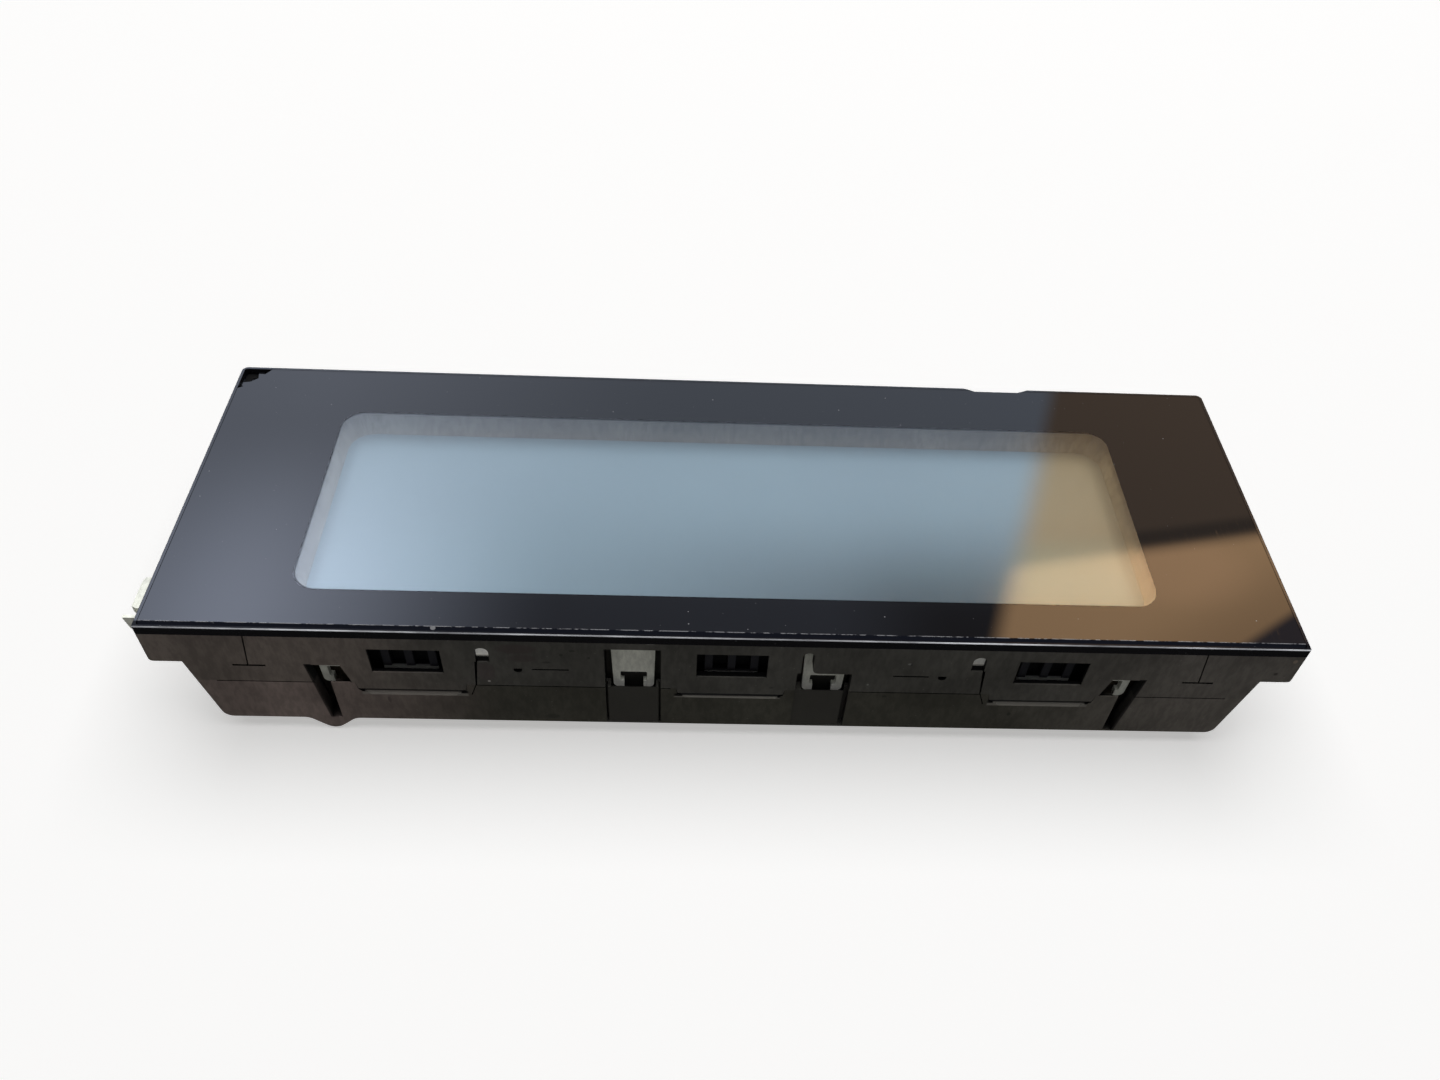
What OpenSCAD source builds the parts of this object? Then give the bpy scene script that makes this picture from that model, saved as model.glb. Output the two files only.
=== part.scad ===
// Dashboard display unit: a wide, shallow screen module lying on its back, lens upwards.
// +Z is the lens's outward normal, +X runs along the long side, and -Y is the long side with the snap windows.
// The origin is under the middle of the whole unit, in the plane that the rear feet rest on.
// Depths are measured down from the top of the rim, and level(depth) turns one into a height.

/* [Overall] */
// Width of the front flange
unit_w = 200; // [190:1:230]
// Height of the unit in the dashboard, which is its depth when it lies on its back
unit_d = 67.5; // [66:0.5:80]
// Room between the circuit board and the rear cover's floor
back_room = 5.15; // [4.9:0.05:12]
// How far the rear feet stand out of the rear face
foot_h = 3.3; // [3.2:0.1:8]

/* [Shell] */
// Wall of the front housing and the rear cover
wall = 2; // [1.6:0.1:2.2]
// Depth of the flange's underside
flange_depth = 9.3; // [9.2:0.05:10]
// How far the flange stands out past the body at each end
flange_step = 5.7; // [4.5:0.1:6.5]
// How far each end of the body leans in from the flange to the rear face
end_draft = 3.1; // [2:0.1:3.5]
// Depth of the line where the housing meets the rear cover
parting_depth = 14.6; // [14.5:0.05:15]
// Rounding under the flange
flange_r = 1; // [0.4:0.1:1.8]
// Rounding along the rear edges of the ends
heel_r = 1.8; // [0.6:0.1:1.9]
// Corner radius of the outline on the far side
far_corner_r = 1.5; // [0.6:0.1:2]
// Corner radius of the outline on the near side
near_corner_r = 0.5; // [0.3:0.1:1.5]

/* [Front frame] */
// Height of the gloss frame
frame_h = 2.1; // [2:0.05:2.6]
// Height of its visible side
frame_side = 1.85; // [1.7:0.05:1.9]
// How far the frame's lower part steps in behind the housing's upper edge
frame_step = 0.9; // [0.8:0.05:1]
// Thickness of the thin rim round the lens
rim_wall = 0.6; // [0.5:0.05:0.8]
// Width of the ledge that carries the lens
ledge_w = 1.6; // [1.4:0.1:2]
// Thickness of the adhesive ring under the lens
tape_t = 0.15; // [0.1:0.05:0.25]
// Where the pry notch in the far rim starts
notch_x = 48.3; // [20:0.1:60]
// Length of the pry notch
notch_w = 14.5; // [10:0.5:18]
// Length of its slow run-in
notch_slow = 3; // [2:0.1:4]
// Length of its quick run-out
notch_quick = 2.4; // [1:0.1:3]
// Depth of the pry notch
notch_depth = 1; // [0.8:0.05:1.1]

/* [Lens] */
// Thickness of the lens
lens_t = 2.2; // [2:0.05:2.4]
// Thickness of its stepped edge
lens_edge_t = 1.3; // [1:0.05:1.4]
// Width of the bevel along its near edge
bevel_w = 0.8; // [0.4:0.05:1]
// Drop of that bevel
bevel_h = 0.5; // [0.3:0.05:0.8]
// Gap between the lens and the rim
lens_gap = 0.1; // [0.1:0.05:0.2]
// How far the break at the far left corner reaches along the long side
break_long = 6.9; // [4:0.1:12]
// How far the break reaches along the short side
break_short = 7.5; // [4:0.1:12]

/* [Window] */
// Width of the black border at each end
border_end = 23; // [20:0.5:30]
// Width of the black border on the near side
border_near = 10.1; // [9:0.1:14]
// Width of the black border on the far side
border_far = 11.85; // [10.6:0.05:16]
// Corner radius of the window
window_r = 4.5; // [2:0.25:6]
// Depth of the sloping wall between the border and the display
bezel_h = 4.2; // [3.8:0.1:4.4]
// How far that wall leans in
bezel_lean = 0.8; // [0.4:0.1:1.5]

/* [Snap fits] */
// Width of a snap window
snap_w = 12.4; // [10:0.1:13]
// Height of a snap window
snap_h = 6.5; // [5.8:0.1:6.6]
// Depth of a snap window's upper edge
snap_depth = 4.85; // [4.7:0.05:5]
// Distance between neighbouring snap windows
snap_pitch = 56.3; // [54:0.1:58]
// Width of a tongue at its lower edge
tongue_w = 18.8; // [18:0.1:19.2]
// How much wider each side of a tongue is at the parting line
tongue_flare = 0.3; // [0.1:0.1:0.5]
// How far a tongue reaches past the parting line
tongue_reach = 1.75; // [1.4:0.05:2.2]
// Gap under a tongue
tongue_gap = 0.35; // [0.2:0.05:0.4]
// How much higher the middle snap window and tongue sit
mid_lift = 0.4; // [0:0.1:0.5]
// Wall left round a snap window
thin_wall = 0.8; // [0.7:0.1:1]
// Width of a catch rib
rib_w = 1.4; // [1:0.1:2]
// Distance between neighbouring catch ribs
rib_pitch = 4.05; // [3.2:0.05:4.4]

/* [Latch plates] */
// Width of a latch plate
plate_w = 7.9; // [7.5:0.1:8.2]
// How much narrower each side of a latch plate is at its lower end
plate_taper = 0.35; // [0:0.05:0.5]
// How far a latch plate reaches past the parting line, behind the cover's wall
plate_reach = 2.8; // [2.5:0.1:3]
// Width of the upper part of its T slot
slot_wide = 4.75; // [4.2:0.05:5]
// Width of the lower part of its T slot
slot_narrow = 3.45; // [2.6:0.05:4]
// Height of the upper part of its T slot
slot_h = 2.8; // [2.4:0.1:3]
// Recess of the lead-in channels under the plates
channel_depth = 0.2; // [0.15:0.05:0.4]

/* [Carrier] */
// Thickness of the carrier's lip, skirt and latch plates
skin_t = 1.1; // [0.9:0.05:1.2]
// Thickness of the carrier's floor
floor_t = 1.2; // [1:0.1:1.5]
// How far the fin of the carrier's side tab stands out of the flange
tab_out = 3.9; // [3:0.1:5]
// Width of the side tab with its fin
tab_w = 9; // [8:0.1:12]
// Thickness of the side tab
tab_t = 1.6; // [1.2:0.1:1.9]
// Height of its fin
fin_h = 3; // [2:0.1:3.4]
// Thickness of its fin
fin_t = 0.6; // [0.5:0.1:1]

/* [Display stack] */
// Thickness of the display glass
glass_t = 1.4; // [1.1:0.1:1.5]
// Thickness of each polariser film
polariser_t = 0.2; // [0.1:0.05:0.25]
// Thickness of the prism film
prism_t = 0.25; // [0.15:0.05:0.3]
// Thickness of the diffuser sheet
diffuser_t = 0.3; // [0.2:0.05:0.35]
// Thickness of the light guide
guide_t = 3.1; // [2.8:0.1:3.2]
// Thickness of the reflector sheet
reflector_t = 0.2; // [0.1:0.05:0.25]
// Number of backlight diodes
led_count = 8; // [4:1:12]

/* [Electronics] */
// Thickness of the circuit board
board_t = 1.6; // [1.2:0.1:1.7]
// Gap between the circuit board and the screw tubes at its ends
board_end_gap = 1.9; // [1:0.1:6]
// Gap between the circuit board and the rear cover's lips
board_gap = 1.15; // [0.8:0.05:4]
// Space between the carrier and the board
board_lift = 3; // [2.9:0.1:3.1]
// Number of contacts along one row of the header
pin_count = 8; // [6:1:9]
// Distance between contacts
pin_pitch = 3; // [2.5:0.1:3]
// Thickness of the ribbon cable
ribbon_t = 0.2; // [0.1:0.05:0.3]
// Width of the ribbon cable
ribbon_w = 40; // [30:1:44]

/* [Screws] */
// Shank diameter of the cover screws and board screws
shank_d = 2.5; // [2:0.1:2.8]
// Head diameter of the screws
head_d = 5; // [4.4:0.1:5.2]
// Height of the screw heads
head_h = 1.8; // [1.4:0.1:1.9]
// Outer diameter of the screw posts
post_d = 6.6; // [6.2:0.1:7]

/* [Hidden] */

// Smoothness of round edges and bores
$fn = 32;
// Overlap that keeps a cut clean
eps = 0.5;
// Gap of parts that only have to pass each other
fit_gap = 0.25;
// Gap of parts that seat on each other
seat_gap = 0.1;
// Gap at the sides of a tongue
side_gap = 0.05;

// Half sizes of the outline and of what lies in it
half_w = unit_w / 2;
half_d = unit_d / 2;
ledge_half_w = half_w - rim_wall - ledge_w;
ledge_half_d = half_d - rim_wall - ledge_w;
inner_d = half_d - wall;
face_near = -half_d;

// Layers behind the near and far walls: latch plates and catches first, then the cover's inner lip
layer_1 = inner_d - fit_gap;
layer_2 = layer_1 - skin_t - fit_gap;
lip_t = 1;
tray_half_d = layer_2 - lip_t - fit_gap;

// Depths of the stack, from the lens down
mask_t = 0.2;
mask_depth = lens_t + mask_t;
gasket_t = 0.5;
bezel_depth = mask_depth + gasket_t;
polariser_depth = bezel_depth + bezel_h;
glass_depth = polariser_depth + polariser_t;
back_film_depth = glass_depth + glass_t;
prism_depth = back_film_depth + polariser_t;
diffuser_depth = prism_depth + prism_t;
guide_depth = diffuser_depth + diffuser_t;
reflector_depth = guide_depth + guide_t;
floor_depth = reflector_depth + reflector_t;
floor_under = floor_depth + floor_t;
board_depth = floor_under + board_lift;
board_under = board_depth + board_t;
cover_floor = board_under + back_room;
shell_depth = cover_floor + wall;

// Heights
total_h = shell_depth + foot_h;
function level(depth) = total_h - depth;

// Half width of the tapering body at a depth
body_top = half_w - flange_step;
function body_half(depth) = body_top - (depth - flange_depth) * end_draft / (shell_depth - flange_depth);

// Rounding of the rim's edges, apart from the near one
fine_r = 0.15;

// The carrier
lip_depth = mask_depth + 0.8;
skirt_depth = lip_depth + 3.2;
tray_half_w = body_half(floor_under) - wall - fit_gap;
lip_half_w = tray_half_w - 1;
tray_wall = 1.2;
tray_in_w = tray_half_w - tray_wall;
tray_in_d = tray_half_d - tray_wall;

// The display
window_w = unit_w - 2 * border_end;
window_d = unit_d - border_near - border_far;
window_y = (border_near - border_far) / 2;
glass_over = 2.4;
glass_half_w = window_w / 2 + 5;
glass_near = window_y - window_d / 2 - glass_over;
glass_far = window_y + window_d / 2 + glass_over;
film_margin = 1;
bezel_half_w = glass_half_w + 4;

// Latch plates: centres along the long side
outer_plate = snap_pitch + 12.4;
plate_centres = [-outer_plate, -17.3, 16.6, outer_plate];
plate_depth = parting_depth + plate_reach;
slot_depth = parting_depth - 1.7;
slot_r = 0.3;
plate_r = 1;
ramp_edge = 0.15;
ramp_run = 3;
side_relief = 1;

// Outer pockets: inner and outer edge at the top, how far each leans by the parting line, and their top
pocket_in = snap_pitch + 11.45;
pocket_out = snap_pitch + 17.4;
pocket_in_lean = 1.25;
pocket_out_lean = 0.7;
pocket_top = flange_depth + 0.3;
// Slots in the cover that carry the outer pockets on towards the rear edge
run_in = pocket_in + 2.45;
run_out = pocket_out - pocket_out_lean;
run_lean = 1.1;
run_cut = wall + skin_t;
// The middle pocket and the L-shaped one: left and right edge, then the L's stem
mid_pocket = [-22.2, -12.4];
mid_top = snap_depth - 1.3;
ell_pocket = [11.5, 21.2];
ell_depth = flange_depth + 0.1;
stem_left = 12.1;
stem_w = 2.05;
stem_flare = 1.1;
// Lead-in channels under them: left edge, right edge, and the widths of the grooves along both edges
channels = [
    [mid_pocket[0], mid_pocket[1], 0.4, 0.4],
    [ell_pocket[0], ell_pocket[1], 0, 1]];
channel_end = shell_depth - 0.25;
groove_cut = 1.4;

// Screw places
cover_screw_x = body_half(cover_floor) - wall - post_d / 2 - 1.1;
cover_screw_y = layer_2 - lip_t - 8.15;
board_half_w = cover_screw_x - post_d / 2 - board_end_gap;
board_half_d = layer_2 - lip_t - board_gap;
board_screw_x = board_half_w - 4;
board_screw_y = board_half_d - 6;
pilot_gap = 0.1;
head_gap = 0.3;
head_sink = 0.6;
carrier_post = floor_under + 2;

// Rear feet
foot_r = 2.4;
foot_fillet = 2.4;
foot_flank = 45;
foot_edge = 1.2;
foot_inset = 7.9;
foot_x = half_w - 27.9;
foot_places = [
    [-foot_x, -half_d + foot_edge],
    [foot_x, -half_d + foot_inset],
    [-foot_x, half_d - foot_inset],
    [foot_x, half_d - foot_inset]];

// Marks and small holes of the long walls
mark_x = body_top - 11.1;
mark_lean = 1;
mark_depth = flange_depth + 0.5;
mark_cut = 0.9;
drain_x = snap_pitch - 19.1;
drain_depth = flange_depth + 0.25;
drain_r = 0.75;
slit_x = drain_x - 5.6;
slit_w = 6.4;
// D-shaped holes: distance from a snap window's middle, width, top, bottom, and the skirt's tab behind them
relief_x = 12.05;
relief_w = 2.4;
relief_top = snap_depth - 0.95;
relief_bottom = relief_top + 3.9;
relief_wall = 1.05;
witness_depth = relief_top + 6.1;
// The tongues' inner edges: where they start under the D-shaped holes, and where they cross the parting line
function relief_middle(side) = side * (snap_pitch - relief_x - relief_w / 2);
edge_off = 1.9;
edge_start = snap_pitch - relief_x;
edge_cross = snap_pitch - tongue_w / 2 - edge_off;
edge_run = 1.1;
edge_past = 1;
// The groove along the parting line: its height, its outer end, and its short run beside the middle tongue
parting_cut = 0.22;
seam_end = body_top - 4.4;
seam_short = 1.7;

// Vent slots
vent_count = 9;
vent_x = -half_w + 42;
vent_y = 2;
vent_pitch = 5;
vent_w = 1.8;
vent_l = 16;

// Side tab
tab_near = -(inner_d - 2.45);
tab_corner = 0.8;
fin_gap = 1.5;
fin_lean = 0.6;

// Backlight and power parts
led_w = 5;
led_d = 1.2;
led_inset = 0.4;
strip_t = 1;

// The connector stands at this place on the board, and what lies beside it is placed from there
header_end = 46;
header_x = board_half_w - header_end;
header_y = 8;
processor_off = 48;
driver_off = 80;
memory_off = 30;
memory_edge = 11;

processor_x = header_x - processor_off;
driver_x = header_x - driver_off;
memory_x = header_x - memory_off;
memory_y = memory_edge - board_half_d;

// Chips under the board: middle, width, depth, height and number of legs along a side
processor_at = [processor_x, 4, 18, 18, 1.5, 14];
driver_at = [driver_x, -6, 12, 12, 1.2, 9];
memory_at = [memory_x, memory_y, 16, 7, 1.1, 12];
// Capacitors: places, can and base
capacitor_x = board_half_w - 22;
capacitor_y = board_half_d - 16;
capacitor_pitch = 8;
capacitor_places = [
    [capacitor_x, capacitor_y],
    [capacitor_x + capacitor_pitch, capacitor_y],
    [capacitor_x + capacitor_pitch / 2, capacitor_y + capacitor_pitch]];
capacitor_d = 6.3;
capacitor_h = 4.4;
capacitor_base = 6.8;
capacitor_base_h = 0.8;
// Choke and crystal: places and sizes
choke_at = [board_half_w - 20, -8];
choke_half = 5;
choke_h = 3.4;
choke_core_d = 7;
choke_core_h = 3.9;
crystal_at = [memory_x, 14];
crystal_half_w = 5.4;
crystal_half_d = 2.2;
crystal_h = 3;

// The connector
header_wall = 1.2;
header_w = pin_count * pin_pitch + 6;
header_d = 11;
header_out = foot_h - 0.7;
header_base = 2;
header_latch_w = 5;
header_depth = shell_depth + header_out;
pin_side = 0.64;
pin_row = 1.9;
pin_rise = 4.2;
pin_tail = 1.2;

// Ribbon cable from the display glass to the board
ribbon_y = -(tray_in_d - 0.4);
ribbon_bond = 1;
ribbon_turn = board_depth - 0.5;
ribbon_run = 3.4;
socket_d = 4.5;
socket_h = 1.8;

// Shifts the unit so that the side tab counts in the middle
module place() {
    translate([tab_out / 2, 0, 0]) children();
}

// Rectangle by its lower left and upper right corners
module field(x0, y0, x1, y1) {
    translate([x0, y0]) square([x1 - x0, y1 - y0]);
}

// Rectangle with rounded corners, made of plain squares and circles
module rounded(x0, y0, x1, y1, r) {
    field(x0 + r, y0, x1 - r, y1);
    field(x0, y0 + r, x1, y1 - r);
    for (x = [x0 + r, x1 - r], y = [y0 + r, y1 - r]) translate([x, y]) circle(r = r);
}

// Rectangle round the middle with rounded corners
module rounded_mid(hw, hd, r) {
    rounded(-hw, -hd, hw, hd, r);
}

// Outline of the unit from above: tight corners near, rounder ones far
module outline() {
    difference() {
        field(-half_w, -half_d, half_w, half_d);
        for (side = [-1, 1]) {
            corner_cut(side, 1, far_corner_r);
            corner_cut(side, -1, near_corner_r);
        }
    }
}

// What a rounding of radius r takes off one corner of the outline
module corner_cut(sx, sy, r) {
    difference() {
        translate([sx * (half_w - r / 2 + eps / 2), sy * (half_d - r / 2 + eps / 2)])
            square([r + eps, r + eps], center = true);
        translate([sx * (half_w - r), sy * (half_d - r)]) circle(r = r);
    }
}

// A slab between two depths, of the flat shape given
module slab(depth_top, depth_bottom) {
    translate([0, 0, level(depth_bottom)]) linear_extrude(depth_bottom - depth_top) children();
}

// A bar along Y of the shape given in X and height, centred on the middle
module along_y(length) {
    rotate([90, 0, 0]) linear_extrude(length, center = true) children();
}

// A bar along X of the shape given in Y and height, centred on the middle
module along_x(length) {
    rotate([90, 0, 90]) linear_extrude(length, center = true) children();
}

// A plate parallel to the near face, from y0 to y1, of the shape given in X and height
module upright(y0, y1) {
    translate([0, y1, 0]) rotate([90, 0, 0]) linear_extrude(y1 - y0) children();
}

// A rectangle in X and height, given by depths
module face_field(x0, depth_top, x1, depth_bottom) {
    field(x0, level(depth_bottom), x1, level(depth_top));
}

// The same on the near and the far side
module both_sides() {
    children();
    mirror([0, 1, 0]) children();
}

// Points of an arc
function arc(cx, cy, r, a0, a1, n = 6) =
    [for (i = [0 : n]) let (a = a0 + (a1 - a0) * i / n) [cx + r * cos(a), cy + r * sin(a)]];

// Outer profile of the whole shell in X and height
module shell_profile() {
    foot = body_half(shell_depth);
    lean = atan((body_half(flange_depth) - foot) / (shell_depth - flange_depth));
    heel_x = foot - heel_r * (1 - sin(lean)) / cos(lean);
    right = concat(
        [[half_w, level(frame_side)]],
        arc(half_w - flange_r, level(flange_depth) + flange_r, flange_r, 0, -90),
        [[body_half(flange_depth), level(flange_depth)]],
        arc(heel_x, level(shell_depth) + heel_r, heel_r, -lean, -90));
    left = [for (i = [len(right) - 1 : -1 : 0]) [-right[i][0], right[i][1]]];
    polygon(concat(right, left));
}

// Hollow of the shell in X and height
module hollow_profile() {
    right = [
        [half_w - wall, level(frame_h) + eps],
        [half_w - wall, level(flange_depth - wall)],
        [body_half(flange_depth) - wall, level(flange_depth - wall)],
        [body_half(cover_floor) - wall, level(cover_floor)]];
    left = [for (i = [len(right) - 1 : -1 : 0]) [-right[i][0], right[i][1]]];
    polygon(concat(right, left));
}

// The closed shell that the housing and the cover are cut from
module shell() {
    difference() {
        intersection() {
            along_y(unit_d) shell_profile();
            slab(frame_side, shell_depth) outline();
        }
        along_y(2 * inner_d) hollow_profile();
    }
}

snap_centres = [-snap_pitch, 0, snap_pitch];

// How much higher the snap fit at this place sits
function lift(centre) = centre == 0 ? mid_lift : 0;

// Depth of the lower edge of the tongue at this place
function tongue_low(centre) = parting_depth + tongue_reach - lift(centre);

// Outline of one tongue in X and height, with a gap at its sides and one under it
module tongue_shape(centre, side, under) {
    top = parting_depth - side;
    low = tongue_low(centre) + under;
    half = tongue_w / 2 + side;
    polygon([
        [centre - half - tongue_flare, level(top)],
        [centre - half, level(low)],
        [centre + half, level(low)],
        [centre + half + tongue_flare, level(top)]]);
}

// Openings in the near wall of the front housing, in X and height
module wall_openings() {
    past = parting_depth + eps;
    for (c = snap_centres) translate([0, lift(c)])
        face_field(c - snap_w / 2, snap_depth, c + snap_w / 2, snap_depth + snap_h);
    face_field(mid_pocket[0], mid_top, mid_pocket[1], past);
    ell_opening(past);
    for (s = [-1, 1]) {
        outer_pocket(s);
        relief_hole(s);
        drain_hole(s * drain_x);
    }
}

// Outer pocket: both sides lean, and its upper edge is level
module outer_pocket(side) {
    past = (parting_depth + eps - pocket_top) / (parting_depth - pocket_top);
    polygon([
        [side * pocket_in, level(pocket_top)],
        [side * pocket_out, level(pocket_top)],
        [side * (pocket_out - past * pocket_out_lean), level(parting_depth + eps)],
        [side * (pocket_in - past * pocket_in_lean), level(parting_depth + eps)]]);
}

// The L-shaped pocket with its rounded stem
module ell_opening(bottom) {
    stem_r = stem_w / 2;
    stem_mid = stem_left + stem_r;
    stem_right = stem_left + stem_w;
    face_field(ell_pocket[0], ell_depth, ell_pocket[1], bottom);
    face_field(stem_left, mid_top + stem_r, stem_right, ell_depth + eps);
    translate([stem_mid, level(mid_top + stem_r)]) circle(r = stem_r);
    difference() {
        face_field(stem_right - eps, ell_depth - stem_flare, stem_right + stem_flare, ell_depth + eps);
        translate([stem_right + stem_flare, level(ell_depth - stem_flare)]) circle(r = stem_flare);
    }
}

// Hole with an arched top beside a tongue's inner edge
module relief_hole(side) {
    middle = relief_middle(side);
    translate([middle, level(relief_top + relief_w / 2)]) circle(r = relief_w / 2);
    face_field(middle - relief_w / 2, relief_top + relief_w / 2, middle + relief_w / 2, relief_bottom);
}

// Drain hole with a flat top and a round bottom
module drain_hole(x) {
    face_field(x - drain_r, drain_depth, x + drain_r, drain_depth + drain_r / 2);
    translate([x, level(drain_depth + drain_r / 2)]) intersection() {
        circle(r = drain_r);
        field(-drain_r, -drain_r, drain_r, 0);
    }
}

// Shallow marks in the near wall: leaning T grooves, fine slits and the tongues' inner edges
module wall_marks() {
    line_w = 0.25;
    bar_half = 2.8;
    bar_h = 0.45;
    slit_h = 0.35;
    for (s = [-1, 1]) {
        polygon([
            [s * (mark_x - mark_lean), level(frame_side)],
            [s * (mark_x - mark_lean + line_w), level(frame_side)],
            [s * (mark_x + line_w), level(mark_depth)],
            [s * mark_x, level(mark_depth)]]);
        face_field(s * mark_x - bar_half, mark_depth, s * mark_x + bar_half, mark_depth + bar_h);
        face_field(s * slit_x - slit_w / 2, drain_depth, s * slit_x + slit_w / 2, drain_depth + slit_h);
        polygon([
            [s * (edge_start - line_w), level(relief_bottom)],
            [s * (edge_start + line_w), level(relief_bottom)],
            [s * edge_cross, level(parting_depth)],
            [s * (edge_cross - line_w), level(parting_depth)]]);
    }
}

// Clear acrylic lens with a stepped back and a bevelled near edge; one corner is broken off
module lens() {
    lens_hw = half_w - rim_wall - lens_gap;
    lens_hd = half_d - rim_wall - lens_gap;
    color([0.35, 0.38, 0.42, 0.45]) place() difference() {
        union() {
            intersection() {
                slab(0, lens_edge_t) rounded_mid(lens_hw, lens_hd, near_corner_r);
                along_x(2 * lens_hw) bevel_profile(lens_hd);
            }
            slab(lens_edge_t - eps, lens_t)
                rounded_mid(ledge_half_w - lens_gap, ledge_half_d - lens_gap, near_corner_r);
        }
        slab(-eps, lens_t + eps) notch_shape(notch_depth);
        slab(-eps, lens_t + eps) break_shape(0);
    }
    color([0.4, 0.42, 0.45]) place() lens_fragments();
}

// Two chips of the broken corner that still stick to the tape
module lens_fragments() {
    top = lens_edge_t / 2;
    edge_x = -half_w + rim_wall + lens_gap;
    edge_y = half_d - rim_wall - lens_gap;
    slab(top, lens_edge_t) polygon([
        [edge_x + 0.37 * break_long, edge_y],
        [edge_x + 0.54 * break_long, edge_y],
        [edge_x + 0.58 * break_long, edge_y - 0.3 * break_short],
        [edge_x + 0.44 * break_long, edge_y - 0.33 * break_short]]);
    slab(top, lens_edge_t) polygon([
        [edge_x, edge_y - 0.47 * break_short],
        [edge_x + 0.35 * break_long, edge_y - 0.4 * break_short],
        [edge_x + 0.5 * break_long, edge_y - 0.5 * break_short],
        [edge_x + 0.42 * break_long, edge_y - 0.62 * break_short],
        [edge_x, edge_y - 0.6 * break_short]]);
}

// Section through the lens's edge, with the bevel on the near side
module bevel_profile(half) {
    polygon([
        [half, level(0)],
        [half, level(lens_edge_t)],
        [-half, level(lens_edge_t)],
        [-half, level(bevel_h)],
        [-half + bevel_w, level(0)]]);
}

// Pry notch in the far edge: a slow run-in on the left, a quicker one on the right
module notch_shape(depth) {
    steps = 5;
    back = half_d + 2 * eps;
    left = [for (i = [0 : steps]) let (t = i / steps)
        [notch_x + notch_slow * t, half_d - depth * (1 - cos(90 * t))]];
    curve = [for (i = [0 : steps]) let (t = i / steps)
        [notch_x + notch_w - notch_quick * (1 - t), half_d - depth * (1 - t)]];
    deep = [
        [notch_x + notch_slow + 1, half_d - depth],
        [notch_x + notch_w - notch_quick - 1, half_d - depth]];
    polygon(concat([[notch_x, back]], left, deep, curve, [[notch_x + notch_w, back]]));
}

// The broken corner: a slightly ragged line across the far left corner
module break_shape(grow) {
    x = -half_w;
    y = half_d;
    far = eps + grow;
    polygon([
        [x - far, y - break_short - grow],
        [x + 0.22 * break_long, y - 0.83 * break_short - grow],
        [x + 0.42 * break_long + grow / 2, y - 0.6 * break_short - grow],
        [x + 0.58 * break_long + grow, y - 0.47 * break_short],
        [x + 0.8 * break_long + grow, y - 0.2 * break_short],
        [x + break_long + grow, y + far],
        [x - far, y + far]]);
}

// Black printed film on the back of the lens, with the clear window
module mask_film() {
    inset = 0.5;
    color([0.05, 0.05, 0.06]) place() slab(lens_t, mask_depth) difference() {
        rounded_mid(ledge_half_w - lens_gap - inset, ledge_half_d - lens_gap - inset, near_corner_r);
        window_shape(0);
    }
}

// The window, grown by a margin
module window_shape(grow) {
    translate([0, window_y])
        rounded_mid(window_w / 2 + grow, window_d / 2 + grow, window_r);
}

// Adhesive ring between the lens's edge and the ledge
module lens_tape() {
    inset = 0.15;
    outer_w = half_w - rim_wall - lens_gap - inset;
    outer_d = half_d - rim_wall - lens_gap - inset;
    color([0.12, 0.12, 0.12]) place() slab(lens_edge_t, lens_edge_t + tape_t) difference() {
        rounded_mid(outer_w, outer_d, near_corner_r);
        rounded_mid(ledge_half_w + inset, ledge_half_d + inset, near_corner_r);
        notch_shape(notch_depth + inset);
    }
}

// Gloss frame: a thin rounded rim round the lens and the ledge under its edge
module front_frame() {
    ledge_top = lens_edge_t + tape_t;
    color([0.04, 0.04, 0.05]) place() difference() {
        union() {
            intersection() {
                slab(0, frame_side) outline();
                along_y(unit_d) rim_profile(half_w, fine_r);
                along_x(unit_w) rim_profile(half_d, rim_wall / 2);
            }
            slab(frame_side - seat_gap, frame_h)
                rounded_mid(half_w - frame_step, half_d - frame_step, near_corner_r);
        }
        slab(-eps, ledge_top) rounded_mid(half_w - rim_wall, half_d - rim_wall, near_corner_r);
        slab(-eps, frame_h + eps) rounded_mid(ledge_half_w, ledge_half_d, near_corner_r);
        slab(-eps, frame_h + eps) notch_shape(notch_depth);
    }
}

// Section of the frame: a fine rounding on one upper edge, a rounding of radius r on the other
module rim_profile(half, r) {
    polygon(concat(
        [[-half, level(frame_h)], [half, level(frame_h)]],
        arc(half - fine_r, level(0) - fine_r, fine_r, 0, 90),
        arc(-half + r, level(0) - r, r, 90, 180)));
}

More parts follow.
